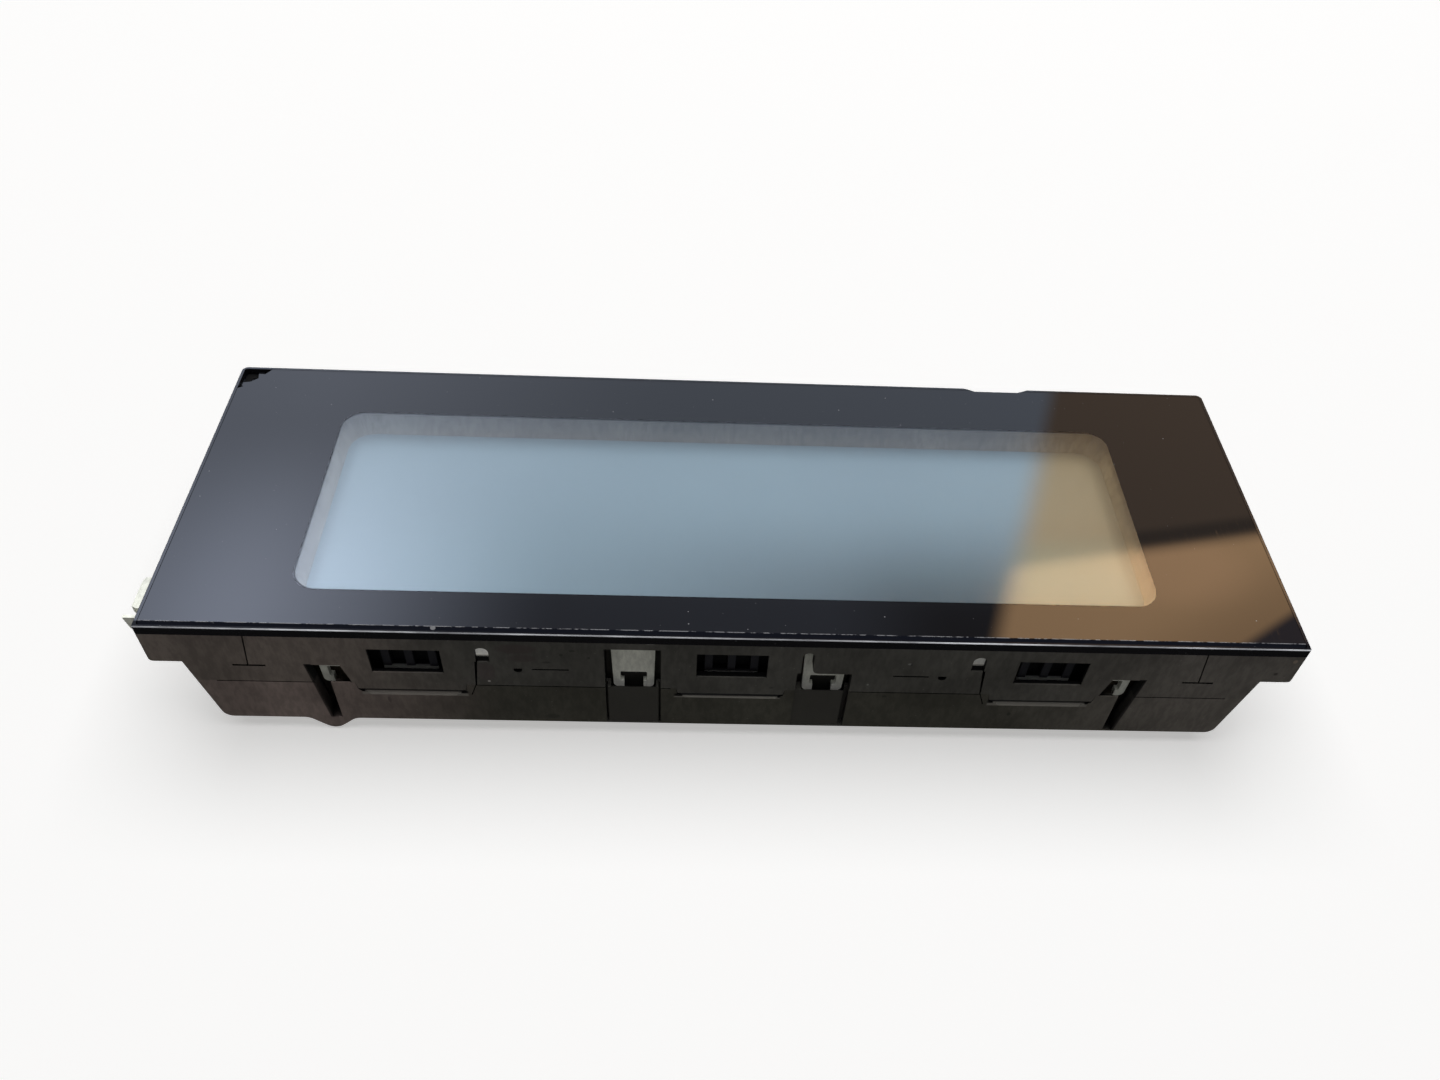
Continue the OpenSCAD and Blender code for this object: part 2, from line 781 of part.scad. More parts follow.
// Matte front housing: an open box without a back, with snap tongues, pockets and a slot for the tab
module front_housing() {
    color([0.2, 0.19, 0.18]) place() difference() {
        union() {
            intersection() {
                shell();
                slab(frame_side, parting_depth) square([unit_w + eps, unit_d + eps], center = true);
            }
            both_sides() for (c = snap_centres) upright(face_near, -inner_d) tongue_shape(c, 0, 0);
        }
        slab(frame_side - eps, frame_h) rounded_mid(
            half_w - frame_step + seat_gap, half_d - frame_step + seat_gap, near_corner_r);
        both_sides() upright(face_near - eps, -inner_d + eps) wall_openings();
        both_sides() for (c = snap_centres) translate([0, lift(c)]) thinned_wall(
            thin_wall, c - snap_w / 2, snap_depth, c + snap_w / 2, parting_depth);
        both_sides() for (s = [-1, 1]) thinned_wall(
            relief_wall, relief_middle(s) - relief_w / 2, relief_top, relief_middle(s) + relief_w / 2, relief_bottom);
        both_sides() upright(face_near - eps, face_near + mark_cut) wall_marks();
        slab(lip_depth - fit_gap, lip_depth + tab_t + fit_gap) field(
            -half_w - eps, tab_near - fit_gap, -half_w + wall + eps, tab_near + tab_w + fit_gap);
        slab(lip_depth, lip_depth + fin_h + fit_gap) field(
            -half_w - eps, tab_near - fit_gap, -half_w + wall + eps, tab_near + fin_t + fit_gap);
    }
}

// Room behind a hole, so that the wall round it is thin
module thinned_wall(t, x0, d0, x1, d1) {
    side = 1.5;
    above = 1.2;
    below = 0.6;
    upright(face_near + t, -inner_d + eps) face_field(x0 - side, d0 - above, x1 + side, d1 + below);
}

// Matte rear cover: floor, walls, inner lips with ribbed catches, screw tubes and feet
module rear_cover() {
    color([0.17, 0.16, 0.15]) place() difference() {
        union() {
            intersection() {
                shell();
                slab(parting_depth, shell_depth) square([unit_w + eps, unit_d + eps], center = true);
            }
            both_sides() inner_lip();
            for (x = [-cover_screw_x, cover_screw_x], y = [-cover_screw_y, cover_screw_y])
                translate([x, y]) slab(carrier_post + seat_gap, cover_floor + eps) circle(d = post_d);
            feet();
        }
        both_sides() for (c = snap_centres) {
            upright(face_near - eps, -inner_d + seat_gap) tongue_shape(c, side_gap, tongue_gap);
            tongue_chamfer(c);
        }
        both_sides() for (c = plate_centres) plate_ramp(c);
        both_sides() for (c = channels) channel(c[0], c[1], c[2], c[3]);
        both_sides() upright(face_near - eps, face_near + run_cut) for (s = [-1, 1]) pocket_run(s);
        both_sides() upright(face_near - eps, face_near + mark_cut) cover_marks();
        for (x = [-cover_screw_x, cover_screw_x], y = [-cover_screw_y, cover_screw_y])
            translate([x, y]) screw_bore();
        slab(cover_floor - eps, shell_depth + eps) header_field(fit_gap);
        vents();
    }
}

// Upright lip inside the cover's long wall, with the catches that fill the snap windows
module inner_lip() {
    top = lip_depth + skin_t + seat_gap;
    rib_top = top + 0.6;
    end_gap = 3;
    bar_h = 0.8;
    bar_low = snap_depth + snap_h + 1.8;
    reach = rib_pitch + rib_w / 2;
    upright(-layer_2, -layer_2 + lip_t)
        face_field(-lip_half_w + end_gap, top, lip_half_w - end_gap, cover_floor + eps);
    for (c = snap_centres) upright(-layer_1, -layer_2 + seat_gap) translate([0, lift(c)]) {
        for (i = [-1 : 1])
            face_field(c + i * rib_pitch - rib_w / 2, rib_top, c + i * rib_pitch + rib_w / 2, bar_low);
        face_field(c - reach, bar_low - bar_h, c + reach, bar_low);
    }
}

// Shallow lead-in channel in the cover's long wall, with a groove along each edge
module channel(x0, x1, groove_left, groove_right) {
    upright(face_near - eps, face_near + channel_depth)
        face_field(x0, parting_depth - eps, x1, channel_end);
    upright(face_near - eps, face_near + groove_cut) {
        if (groove_left > 0) face_field(x0, parting_depth - eps, x0 + groove_left, channel_end);
        if (groove_right > 0) face_field(x1 - groove_right, parting_depth - eps, x1, channel_end);
    }
}

// Ramp in the cover's upper edge, down which a latch plate is led
module plate_ramp(c) {
    half = plate_w / 2 + side_gap;
    translate([c, 0, 0]) along_x(2 * half) polygon([
        [face_near + ramp_edge, level(parting_depth - eps)],
        [face_near + ramp_edge, level(parting_depth)],
        [-inner_d + eps, level(parting_depth + ramp_run)],
        [-inner_d + eps, level(parting_depth - eps)]]);
}

// Slot that carries an outer pocket on towards the rear edge and narrows on the way
module pocket_run(side) {
    polygon([
        [side * run_in, level(parting_depth - eps)],
        [side * run_out, level(parting_depth - eps)],
        [side * run_out, level(parting_depth)],
        [side * (run_out - run_lean), level(channel_end)],
        [side * run_in, level(channel_end)]]);
}

// Fine grooves in the cover's long wall: along the parting line, and beside the tongues' inner edges
module cover_marks() {
    line_w = 0.2;
    low = tongue_low(snap_pitch) + tongue_gap + edge_past;
    for (s = [-1, 1]) {
        for (span = [[-ell_pocket[1], -edge_cross], [-run_out, -seam_end]])
            face_field(
                min(s * span[0], s * span[1]), parting_depth - eps,
                max(s * span[0], s * span[1]), parting_depth + parting_cut);
        polygon([
            [s * (edge_cross - line_w), level(parting_depth)],
            [s * edge_cross, level(parting_depth)],
            [s * (edge_cross + edge_run), level(low)],
            [s * (edge_cross + edge_run - line_w), level(low)]]);
    }
    face_field(
        mid_pocket[1], parting_depth - eps, mid_pocket[1] + seam_short, parting_depth + parting_cut);
}

// Slanted relief under a tongue, with its ends drawn in
module tongue_chamfer(c) {
    low = tongue_low(c) + tongue_gap;
    cut = 0.7;
    drop = 1.4 - lift(c);
    half = tongue_w / 2;
    intersection() {
        translate([c, 0, 0]) along_x(tongue_w) polygon([
            [face_near - eps, level(low - seat_gap)],
            [face_near + cut, level(low - seat_gap)],
            [face_near, level(low + drop)],
            [face_near - eps, level(low + drop)]]);
        upright(face_near - eps, face_near + cut + eps) polygon([
            [c - half, level(low - eps)],
            [c + half, level(low - eps)],
            [c + half, level(low)],
            [c + half - 2 * drop, level(low + drop + eps)],
            [c - half + 2 * drop, level(low + drop + eps)],
            [c - half, level(low)]]);
    }
}

// Through bore with a recess for the screw head
module screw_bore() {
    slab(carrier_post - eps, shell_depth + eps) circle(d = shank_d + 2 * head_gap);
    slab(shell_depth - head_h - head_sink, shell_depth + eps) circle(d = head_d + 2 * head_gap);
}

// Rear feet: domed posts with a filleted root; the near left one stands right at the edge
module feet() {
    for (p = foot_places) intersection() {
        translate([p[0], p[1], 0]) rotate_extrude() foot_profile();
        slab(shell_depth - seat_gap, total_h) outline();
    }
}

// Half section of a foot
module foot_profile() {
    both = foot_r + foot_fillet;
    straight = foot_h - both * (1 - cos(foot_flank));
    root = both * sin(foot_flank) + straight / tan(foot_flank);
    polygon(concat(
        arc(0, foot_r, foot_r, -90, -foot_flank),
        arc(root, foot_h - foot_fillet, foot_fillet, 90 + foot_flank, 90),
        [[root, foot_h + seat_gap], [0, foot_h + seat_gap]]));
}

// Row of vent slots in the rear face
module vents() {
    for (i = [0 : vent_count - 1])
        translate([vent_x + i * vent_pitch, vent_y]) slab(cover_floor - eps, shell_depth + eps)
            rounded_mid(vent_w / 2, vent_l / 2, vent_w / 2 - seat_gap);
}

// White carrier: tray for the backlight, outer lip and skirt, latch plates, posts and the side tab
module light_box() {
    color([0.85, 0.85, 0.8]) place() difference() {
        union() {
            slab(lip_depth, lip_depth + skin_t) square([2 * lip_half_w, 2 * layer_1], center = true);
            slab(lip_depth, floor_under) square([2 * tray_half_w, 2 * tray_half_d], center = true);
            both_sides() upright(-layer_1, -layer_1 + skin_t) skirt();
            both_sides() upright(-layer_1, -layer_1 + skin_t) for (c = plate_centres) latch_plate(c);
            side_tab();
            for (x = [-board_screw_x, board_screw_x], y = [-board_screw_y, board_screw_y])
                translate([x, y]) slab(floor_under - eps, board_depth) circle(d = post_d);
            for (x = [-cover_screw_x, cover_screw_x], y = [-cover_screw_y, cover_screw_y])
                translate([x, y]) slab(floor_under - eps, carrier_post) circle(d = post_d);
        }
        slab(lip_depth - eps, floor_depth) square([2 * tray_in_w, 2 * tray_in_d], center = true);
        for (x = [-board_screw_x, board_screw_x], y = [-board_screw_y, board_screw_y])
            translate([x, y]) slab(floor_under, board_depth + eps) circle(d = shank_d + 2 * pilot_gap);
        for (x = [-cover_screw_x, cover_screw_x], y = [-cover_screw_y, cover_screw_y])
            translate([x, y]) slab(floor_under, carrier_post + eps) circle(d = shank_d + 2 * pilot_gap);
        slab(floor_depth - eps, floor_under + eps) field(
            -ribbon_w / 2 - eps, -tray_in_d, ribbon_w / 2 + eps, ribbon_y + ribbon_t + seat_gap + eps);
    }
}

// Skirt under the lip, open at the catches and beside the plates, with tabs behind the D-shaped holes
module skirt() {
    low = lip_depth + skin_t;
    tongue_rest = 1;
    for (s = [-1, 1]) translate([relief_middle(s), 0])
        face_field(-relief_w, skirt_depth - seat_gap, relief_w, witness_depth);
    difference() {
        face_field(-lip_half_w, low - seat_gap, lip_half_w, skirt_depth);
        for (c = snap_centres) face_field(
            c - tongue_w / 2 + tongue_rest, low, c + tongue_w / 2 - tongue_rest, skirt_depth + eps);
        for (c = plate_centres)
            face_field(c - plate_w / 2 - side_relief, low, c + plate_w / 2 + side_relief, skirt_depth + eps);
    }
}

// Tapering latch plate with rounded lower corners and a T slot that is open at the bottom
module latch_plate(c) {
    top_half = plate_w / 2;
    low_half = top_half - plate_taper;
    difference() {
        union() {
            polygon([
                [c - top_half, level(lip_depth)],
                [c - low_half, level(plate_depth - plate_r)],
                [c + low_half, level(plate_depth - plate_r)],
                [c + top_half, level(lip_depth)]]);
            face_field(c - low_half + plate_r, plate_depth - plate_r - seat_gap,
                c + low_half - plate_r, plate_depth);
            for (s = [-1, 1]) translate([c + s * (low_half - plate_r), level(plate_depth - plate_r)])
                circle(r = plate_r);
        }
        rounded(c - slot_wide / 2, level(slot_depth + slot_h), c + slot_wide / 2, level(slot_depth), slot_r);
        face_field(c - slot_narrow / 2, slot_depth + slot_h - eps, c + slot_narrow / 2, plate_depth + eps);
    }
}

// Tab that reaches out through the left side: a flat plate, and an upright fin on its near side
module side_tab() {
    root = -lip_half_w + eps;
    tip = -half_w - tab_out;
    edge = tip + tab_corner;
    plate_near = tab_near + fin_t + fin_gap;
    plate_far = tab_near + tab_w;
    slab(lip_depth, lip_depth + tab_t) polygon([
        [root, plate_far],
        [edge + tab_corner / 2, plate_far],
        [edge, plate_far - tab_corner],
        [edge, plate_near + tab_corner / 2],
        [edge + tab_corner, plate_near],
        [root, plate_near]]);
    upright(tab_near, tab_near + fin_t) polygon([
        [root, level(lip_depth)],
        [tip, level(lip_depth)],
        [tip + fin_lean, level(lip_depth + fin_h)],
        [root, level(lip_depth + fin_h)]]);
}

// Foam ring that keeps dust out of the gap under the lens
module foam_gasket() {
    margin = 0.9;
    color([0.1, 0.1, 0.1]) place() slab(mask_depth, bezel_depth) difference() {
        square([2 * bezel_half_w - 2 * margin, 2 * (tray_in_d - fit_gap - margin)], center = true);
        window_shape(margin);
    }
}

// Grey frame whose walls slope from the window down to the display
module lcd_bezel() {
    clear = 0.4;
    color([0.45, 0.45, 0.46]) place() difference() {
        slab(bezel_depth, polariser_depth)
            square([2 * bezel_half_w, 2 * (tray_in_d - fit_gap)], center = true);
        funnel(window_w / 2 - bezel_lean, window_d / 2 - bezel_lean, clear + bezel_lean);
    }
}

// Ring of points at one height: a rectangle with rounded corners
function ring(hw, hd, z) = [for (i = [0 : 3]) let (sx = i == 0 || i == 3 ? 1 : -1, sy = i < 2 ? 1 : -1)
    each [for (p = arc(sx * (hw - window_r), sy * (hd - window_r), window_r, 90 * i, 90 * i + 90, 4))
        [p[0], p[1] + window_y, z]]];

// Cut that widens from the display up to the lens, with rounded corners
module funnel(hw, hd, spread) {
    grow = spread * eps / bezel_h;
    low = ring(hw - grow, hd - grow, level(polariser_depth + eps));
    high = ring(hw + spread + grow, hd + spread + grow, level(bezel_depth - eps));
    n = len(low);
    polyhedron(
        points = concat(low, high),
        faces = concat(
            [[for (i = [0 : n - 1]) i]],
            [[for (i = [n - 1 : -1 : 0]) n + i]],
            [for (i = [0 : n - 1]) let (j = (i + 1) % n) [i, n + i, n + j, j]]));
}

// A sheet of the display stack
module sheet(top, thickness, near, far, hw) {
    slab(top, top + thickness) field(-hw, near, hw, far);
}

film_near = glass_near + ribbon_bond + 2 * seat_gap;
film_half_w = glass_half_w - film_margin;
strip_near = tray_in_d - fit_gap - strip_t;
led_near = strip_near - led_d;
guide_far = led_near - seat_gap;

module front_polariser() {
    color([0.55, 0.6, 0.62]) place()
        sheet(polariser_depth, polariser_t, film_near, glass_far, film_half_w);
}

// Display cell with its two glass plates
module lcd_glass() {
    color([0.5, 0.58, 0.6]) place() sheet(glass_depth, glass_t, glass_near, glass_far, glass_half_w);
}

module rear_polariser() {
    color([0.45, 0.5, 0.52]) place()
        sheet(back_film_depth, polariser_t, film_near, glass_far, film_half_w);
}

module prism_film() {
    color([0.8, 0.85, 0.85]) place() sheet(prism_depth, prism_t, film_near, guide_far, film_half_w);
}

module diffuser_sheet() {
    color([0.93, 0.93, 0.93]) place()
        sheet(diffuser_depth, diffuser_t, film_near, guide_far, film_half_w);
}

// Light guide, lit from its far edge
module light_guide() {
    color([0.75, 0.85, 0.88]) place() sheet(guide_depth, guide_t, film_near, guide_far, film_half_w);
}

module reflector_sheet() {
    color([0.95, 0.95, 0.95]) place()
        sheet(reflector_depth, reflector_t, film_near, guide_far, film_half_w);
}

// Strip board that carries the diodes along the far edge
module led_board() {
    color([0.1, 0.35, 0.2]) place() slab(guide_depth, floor_depth)
        field(-film_half_w, strip_near, film_half_w, strip_near + strip_t);
}

// Diodes facing the edge of the light guide
module backlight_leds() {
    pitch = 2 * (film_half_w - led_w) / (led_count - 1);
    color([0.95, 0.9, 0.6]) place() for (i = [0 : led_count - 1])
        slab(guide_depth + led_inset, reflector_depth - led_inset)
            translate([-film_half_w + led_w + i * pitch - led_w / 2, led_near]) square([led_w, led_d]);
}

// Main circuit board with holes for its screws and for the header's contacts
module main_board() {
    color([0.08, 0.32, 0.18]) place() slab(board_depth, board_under) difference() {
        square([2 * board_half_w, 2 * board_half_d], center = true);
        for (x = [-board_screw_x, board_screw_x], y = [-board_screw_y, board_screw_y])
            translate([x, y]) circle(d = shank_d + 2 * head_gap);
        pin_fields(pin_side + 2 * seat_gap);
    }
}

// A flat chip with a stepped upper edge, hanging under the board, and legs along two of its sides
module chip(at) {
    lip = 0.25;
    leg_out = 1;
    leg_w = 0.5;
    leg_h = 0.3;
    size = [at[2], at[3]];
    count = at[5];
    step = (size[0] - 2 * leg_out) / (count - 1);
    translate([at[0], at[1], 0]) {
        slab(board_under, board_under + at[4] - lip) square(size, center = true);
        slab(board_under, board_under + at[4]) square(size - [2 * lip, 2 * lip], center = true);
        slab(board_under, board_under + leg_h) for (i = [0 : count - 1])
            translate([(i - (count - 1) / 2) * step, 0])
                square([leg_w, size[1] + 2 * leg_out], center = true);
    }
}

module processor() {
    color([0.09, 0.09, 0.1]) place() chip(processor_at);
}

module driver_chip() {
    color([0.1, 0.1, 0.1]) place() chip(driver_at);
}

module memory_chip() {
    color([0.11, 0.11, 0.11]) place() chip(memory_at);
}

// Three electrolytic capacitors on their square bases
module capacitors() {
    color([0.7, 0.71, 0.73]) place() for (p = capacitor_places) translate(p) {
        slab(board_under, board_under + capacitor_base_h)
            square([capacitor_base, capacitor_base], center = true);
        slab(board_under, board_under + capacitor_h) circle(d = capacitor_d);
    }
}

// Shielded choke of the power supply
module choke_coil() {
    color([0.25, 0.25, 0.27]) place() translate(choke_at) {
        slab(board_under, board_under + choke_h) rounded_mid(choke_half, choke_half, choke_half * 0.3);
        slab(board_under, board_under + choke_core_h) circle(d = choke_core_d);
    }
}

// Quartz crystal in its can
module crystal() {
    color([0.8, 0.8, 0.82]) place() translate(crystal_at) slab(board_under, board_under + crystal_h)
        rounded_mid(crystal_half_w, crystal_half_d, crystal_half_d - seat_gap);
}

// Outline of the header, grown by a gap
module header_field(gap) {
    translate([header_x, header_y])
        square([header_w + 2 * gap, header_d + 2 * gap], center = true);
}

// Open shroud of the connector with its keys and a latch window
module connector_header() {
    inner_w = header_w - 2 * header_wall;
    inner_dd = header_d - 2 * header_wall;
    key = 1;
    color([0.85, 0.85, 0.8]) place() difference() {
        slab(board_under, header_depth) difference() {
            header_field(0);
            difference() {
                translate([header_x, header_y]) square([inner_w, inner_dd], center = true);
                for (s = [-1, 1]) translate([header_x + s * inner_w / 4, header_y + inner_dd / 2])
                    square([key, 2 * key], center = true);
            }
        }
        slab(header_depth - 1, header_depth + eps) translate([header_x, header_y - header_d / 2])
            square([header_latch_w, 2 * header_wall + eps], center = true);
    }
    color([0.85, 0.85, 0.8]) place() slab(board_under, board_under + header_base) difference() {
        header_field(-seat_gap);
        pin_fields(pin_side + 2 * seat_gap);
    }
}

// Squares at the places of the contacts
module pin_fields(side) {
    for (i = [0 : pin_count - 1], y = [-pin_row, pin_row])
        translate([header_x + (i - (pin_count - 1) / 2) * pin_pitch, header_y + y])
            square([side, side], center = true);
}

// Contacts of the header
module header_pins() {
    color([0.85, 0.75, 0.4]) place()
        slab(board_depth - pin_tail, board_under + header_base + pin_rise) pin_fields(pin_side);
}

// Ribbon cable: bonded under the glass, down through the carrier's floor, then into its socket
module ribbon_cable() {
    color([0.75, 0.5, 0.15]) place() along_x(ribbon_w) union() {
        height_field(ribbon_y, back_film_depth, glass_near + ribbon_bond, back_film_depth + ribbon_t);
        height_field(ribbon_y, back_film_depth, ribbon_y + ribbon_t, ribbon_turn + ribbon_t);
        height_field(ribbon_y, ribbon_turn, ribbon_y + ribbon_run, ribbon_turn + ribbon_t);
    }
}

// A rectangle in Y and height, given by depths
module height_field(y0, depth_top, y1, depth_bottom) {
    field(y0, level(depth_bottom), y1, level(depth_top));
}

// Socket that takes the end of the ribbon cable
module ribbon_socket() {
    grip = 1.6;
    y0 = ribbon_y + ribbon_run - grip;
    color([0.8, 0.78, 0.7]) place() difference() {
        slab(board_depth - socket_h, board_depth)
            field(-ribbon_w / 2 - 2, y0, ribbon_w / 2 + 2, y0 + socket_d);
        slab(ribbon_turn - seat_gap, ribbon_turn + ribbon_t + seat_gap)
            field(-ribbon_w / 2 - seat_gap, y0 - eps, ribbon_w / 2 + seat_gap, y0 + grip + seat_gap);
    }
}

// A screw with a cross recess: its head's underside lies at the seat depth, its tip points up
module screw(seat, tip) {
    cross_w = 0.7;
    cross_l = head_d * 0.6;
    cross_deep = 0.9;
    difference() {
        union() {
            slab(tip, seat + eps / 2) circle(d = shank_d);
            slab(seat, seat + head_h) circle(d = head_d);
        }
        slab(seat + head_h - cross_deep, seat + head_h + eps) {
            square([cross_l, cross_w], center = true);
            square([cross_w, cross_l], center = true);
        }
    }
}

// Screws that hold the board on the carrier's posts
module board_screws() {
    color([0.75, 0.75, 0.77]) place()
        for (x = [-board_screw_x, board_screw_x], y = [-board_screw_y, board_screw_y])
            translate([x, y, 0]) screw(board_under, floor_under + 2 * seat_gap);
}

// Screws that hold the rear cover on the carrier
module cover_screws() {
    color([0.6, 0.6, 0.62]) place()
        for (x = [-cover_screw_x, cover_screw_x], y = [-cover_screw_y, cover_screw_y])
            translate([x, y, 0]) screw(shell_depth - head_h - head_sink, floor_under + 2 * seat_gap);
}

lens();
mask_film();
lens_tape();
front_frame();
front_housing();
rear_cover();
light_box();
foam_gasket();
lcd_bezel();
front_polariser();
lcd_glass();
rear_polariser();
prism_film();
diffuser_sheet();
light_guide();
reflector_sheet();
led_board();
backlight_leds();
main_board();
processor();
driver_chip();
memory_chip();
capacitors();
choke_coil();
crystal();
connector_header();
header_pins();
ribbon_cable();
ribbon_socket();
board_screws();
cover_screws();
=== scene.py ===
import math

import bpy
from mathutils import Euler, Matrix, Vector


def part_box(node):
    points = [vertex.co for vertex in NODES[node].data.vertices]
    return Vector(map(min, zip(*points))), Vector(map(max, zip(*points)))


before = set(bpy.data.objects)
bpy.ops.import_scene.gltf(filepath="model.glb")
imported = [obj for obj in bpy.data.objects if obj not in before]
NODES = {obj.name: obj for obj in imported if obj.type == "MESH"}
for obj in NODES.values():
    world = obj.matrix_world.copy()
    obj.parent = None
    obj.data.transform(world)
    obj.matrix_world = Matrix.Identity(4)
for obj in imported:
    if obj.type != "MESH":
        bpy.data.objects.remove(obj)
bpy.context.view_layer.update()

MM = 0.001

# Places taken from the frame, in metres like the stage below
LENS_LOW, LENS_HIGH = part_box("lens")
TOP = LENS_HIGH.z
MIDDLE_X = (LENS_LOW.x + LENS_HIGH.x) / 2

# Camera, solved from the lens's outline and the body's corners, and placed from the lens's face
CAMERA_AT = Vector((MIDDLE_X - 9.10 * MM, -153.4 * MM, TOP + 156.2 * MM))
CAMERA_TURN = Euler([math.radians(a) for a in (43.17, -2.80, -0.69)], "XYZ")
CAMERA_LENS = 29.0
CAMERA_SENSOR = 36.0
CAMERA_SHIFT = (-0.0100, -0.0118)
CAMERA_NEAREST = 0.01

# Light: the surroundings, the lamp overhead, and the table as the object's sides see it
WHITE = (1.0, 1.0, 1.0)
WORLD_LEVEL = 0.30
KEY_LEVEL = 0.95
KEY_SIZE = (2.0, 2.0)
KEY_AT = (0.0, 0.45, 1.6)
TABLE_LEVEL = 0.12
TABLE_COLOR = (1.0, 0.96, 0.9)
FLOOR_LIFT = 0.36
FLOOR_COLOR = (0.93, 0.93, 0.93)

# Stage pieces: the floor and the table lie just under the feet, and the mirrored cards hang over the lens
FLOOR_SIZE = 6.0
FLOOR_DROP = 0.3 * MM
TABLE_SIZE = 2.4
TABLE_DROP = 0.1 * MM
CARD_LIFT = 0.569
CARD_WIDTH = 3.4
CARD_X = 0.1
CEILING_DEPTH = 2.6
CEILING_Y = 0.75
ROOM_DEPTH = 0.6
ROOM_Y = -0.85

# What the mirrored cards show, as colours of light, with places and ranges in metres on the ceiling card.
# The slant is how the border between the wall and the brown room runs, and the painted warm reflection at the
# display's right end with it.
SLANT = -0.345
BROWN_FROM = (0.251, 0.275)
WALL_BRIGHT = (3.6, 4.0, 5.0)
WALL_NEAR = (0.34, 0.37, 0.45)
WALL_DARK = (0.13, 0.125, 0.13)
WALL_FAR_LEFT = (1.45, 1.6, 1.95)
WALL_FAR = (0.84, 0.95, 1.15)
BROWN_LIT = (4.05, 2.5, 1.31)
BROWN_BRIGHTEST = (4.6, 2.8, 1.5)
BRIGHTEST_AT = (0.31, -0.262)
BRIGHTEST_HALF = (0.06, 0.04)
BROWN_DIM = (0.66, 0.47, 0.33)
BEAM_COLOR = (0.36, 0.27, 0.20)
BEAM_Y = -0.2979
BEAM_LEAN = 0.195
CORNER_COLOR = (0.30, 0.25, 0.27)
CORNER_TOWARDS = (0.55, -0.835)
CORNER_FROM = 0.4761
ROOM_COLOR = (0.10, 0.12, 0.20)
ROOM_TO = (-0.55, -0.42)

# From here on, lengths are in millimetres: x from the lens's middle, depth down from the lens's face, and
# inward back from the near wall's face
NEAR_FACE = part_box("front_housing")[0].y / MM
LENS_THICK = (TOP - LENS_LOW.z) / MM

# Middles and half sizes of the clear windows: in the print on the lens's back, and in the black that lies on
# the lens's face, just outside the place where the bent light shows the first one
PRINT_BLACK = (0.003, 0.003, 0.004)
PRINT_WINDOW = ((0.0, -0.80), (76.8, 22.85))
FACE_WINDOW = ((-0.35, -1.9), (76.25, 22.9))
WINDOW_R = 4.5
WINDOW_EDGE = 0.05
# How many times the clear window mirrors what the print does: the lens's back and the display mirror as well
WINDOW_MIRROR = 2.3
ACRYLIC_IOR = 1.5
ACRYLIC_TINT = (0.97, 0.98, 0.98)
ACRYLIC_MIRROR = 0.04
# Wear on the lens: a line along the upper edge of the near bevel, and a chip beside it
WEAR_COLOR = (0.5, 0.5, 0.52)
WORN_INWARD = (1.44, 1.56)
CHIP_AT = (-50.7, 1.25)
CHIP_HALF = (0.45, 0.28)

# The display's face: clouded between two cool colours, with a painted warm reflection at the right end from
# near to middle, and painted light that changes its brightness
FACE_COOL = ((0.164, 0.228, 0.276), (0.172, 0.240, 0.288))
FACE_WARM_REFLECTION = ((0.37, 0.43, 0.32), (0.228, 0.184, 0.112))
WARM_REFLECTION_FROM = (53.0, 62.0)
FAR_PAINTED_LIGHT = 1.06

# The near rim of the frame: a painted highlight line on its rounding, and the flat behind it that stays black
FRAME_BLACK = (0.006, 0.006, 0.008)
FRAME_DUST = (0.3, 0.3, 0.3)
PAINTED_HIGHLIGHT_COLOR = (0.56, 0.57, 0.60)
PAINTED_HIGHLIGHT_AT = (0.16, 0.05)
PAINTED_HIGHLIGHT_HALF = (0.12, 0.12)
FLAT_INWARD = (1.3, 1.5)
FLAT_DEPTH = (0.02, 0.06)

# Moulded parts: dust, and where painted light changes their colour towards the ends
DUST_COLOR = (0.42, 0.4, 0.37)
LEFT_PAINTED_LIGHT_X = (-76.0, -40.0)
RIGHT_PAINTED_LIGHT_X = (45.0, 88.0)
PAINTED_LIGHT_WANDER = 30.0
# Painted light, as a glow on the carrier behind the openings: the tabs in the D-shaped holes, and the latch
# plates with their feet
GLOW_COLOR = (0.90, 0.88, 0.85)
HOLE_X = (41.0, 45.2)
TAB_DEPTH = (5.5, 9.5)
TAB_GLOW_LEFT = 0.17
TAB_GLOW_RIGHT = 0.09
PLATES_X = (-24.0, 22.0)
PLATE_INWARD = (1.9, 2.5)
FEET_DEPTH = (14.0, 16.5)
FEET_GLOW = 0.05
# Painted shade on the walls inside the housing's openings, and the pale sills of the D-shaped holes
PAINTED_SHADE_BLACK = (0.003, 0.003, 0.003)
OPENINGS_X = (-76.0, 76.0)
OPENINGS_DEPTH = (3.0, 15.5)
OPENINGS_INWARD = (0.22, 3.0)
SILL_COLOR = (0.74, 0.73, 0.70)
SILL_DEPTH = (7.0, 9.0)
SILL_INWARD = (1.66, 1.74)
# Where the near wall's face ends, for what is marked on it alone
WALL_INWARD = (0.2, 0.5)
# Painted shade on the cover's catches behind the snap windows, with painted light on a bar: their space, the
# ribs in it, the end pockets and the lit bar
CATCH_INWARD = (1.6, 4.2)
CATCH_DEPTH = (6.0, 18.6)
RIB_COLOR = (0.028, 0.028, 0.032)
RIB_INWARD = (2.4, 2.8)
END_POCKET_COLOR = (0.030, 0.024, 0.015)
END_POCKET_X = (66.5, 66.7)
OUTER_SNAP_X = (30.0, 30.2)
BAR_COLOR = (0.34, 0.345, 0.33)
BAR_DEPTH_MIDDLE = 12.05
BAR_DEPTH_OUTER = 12.35
BAR_HIGH = 0.85
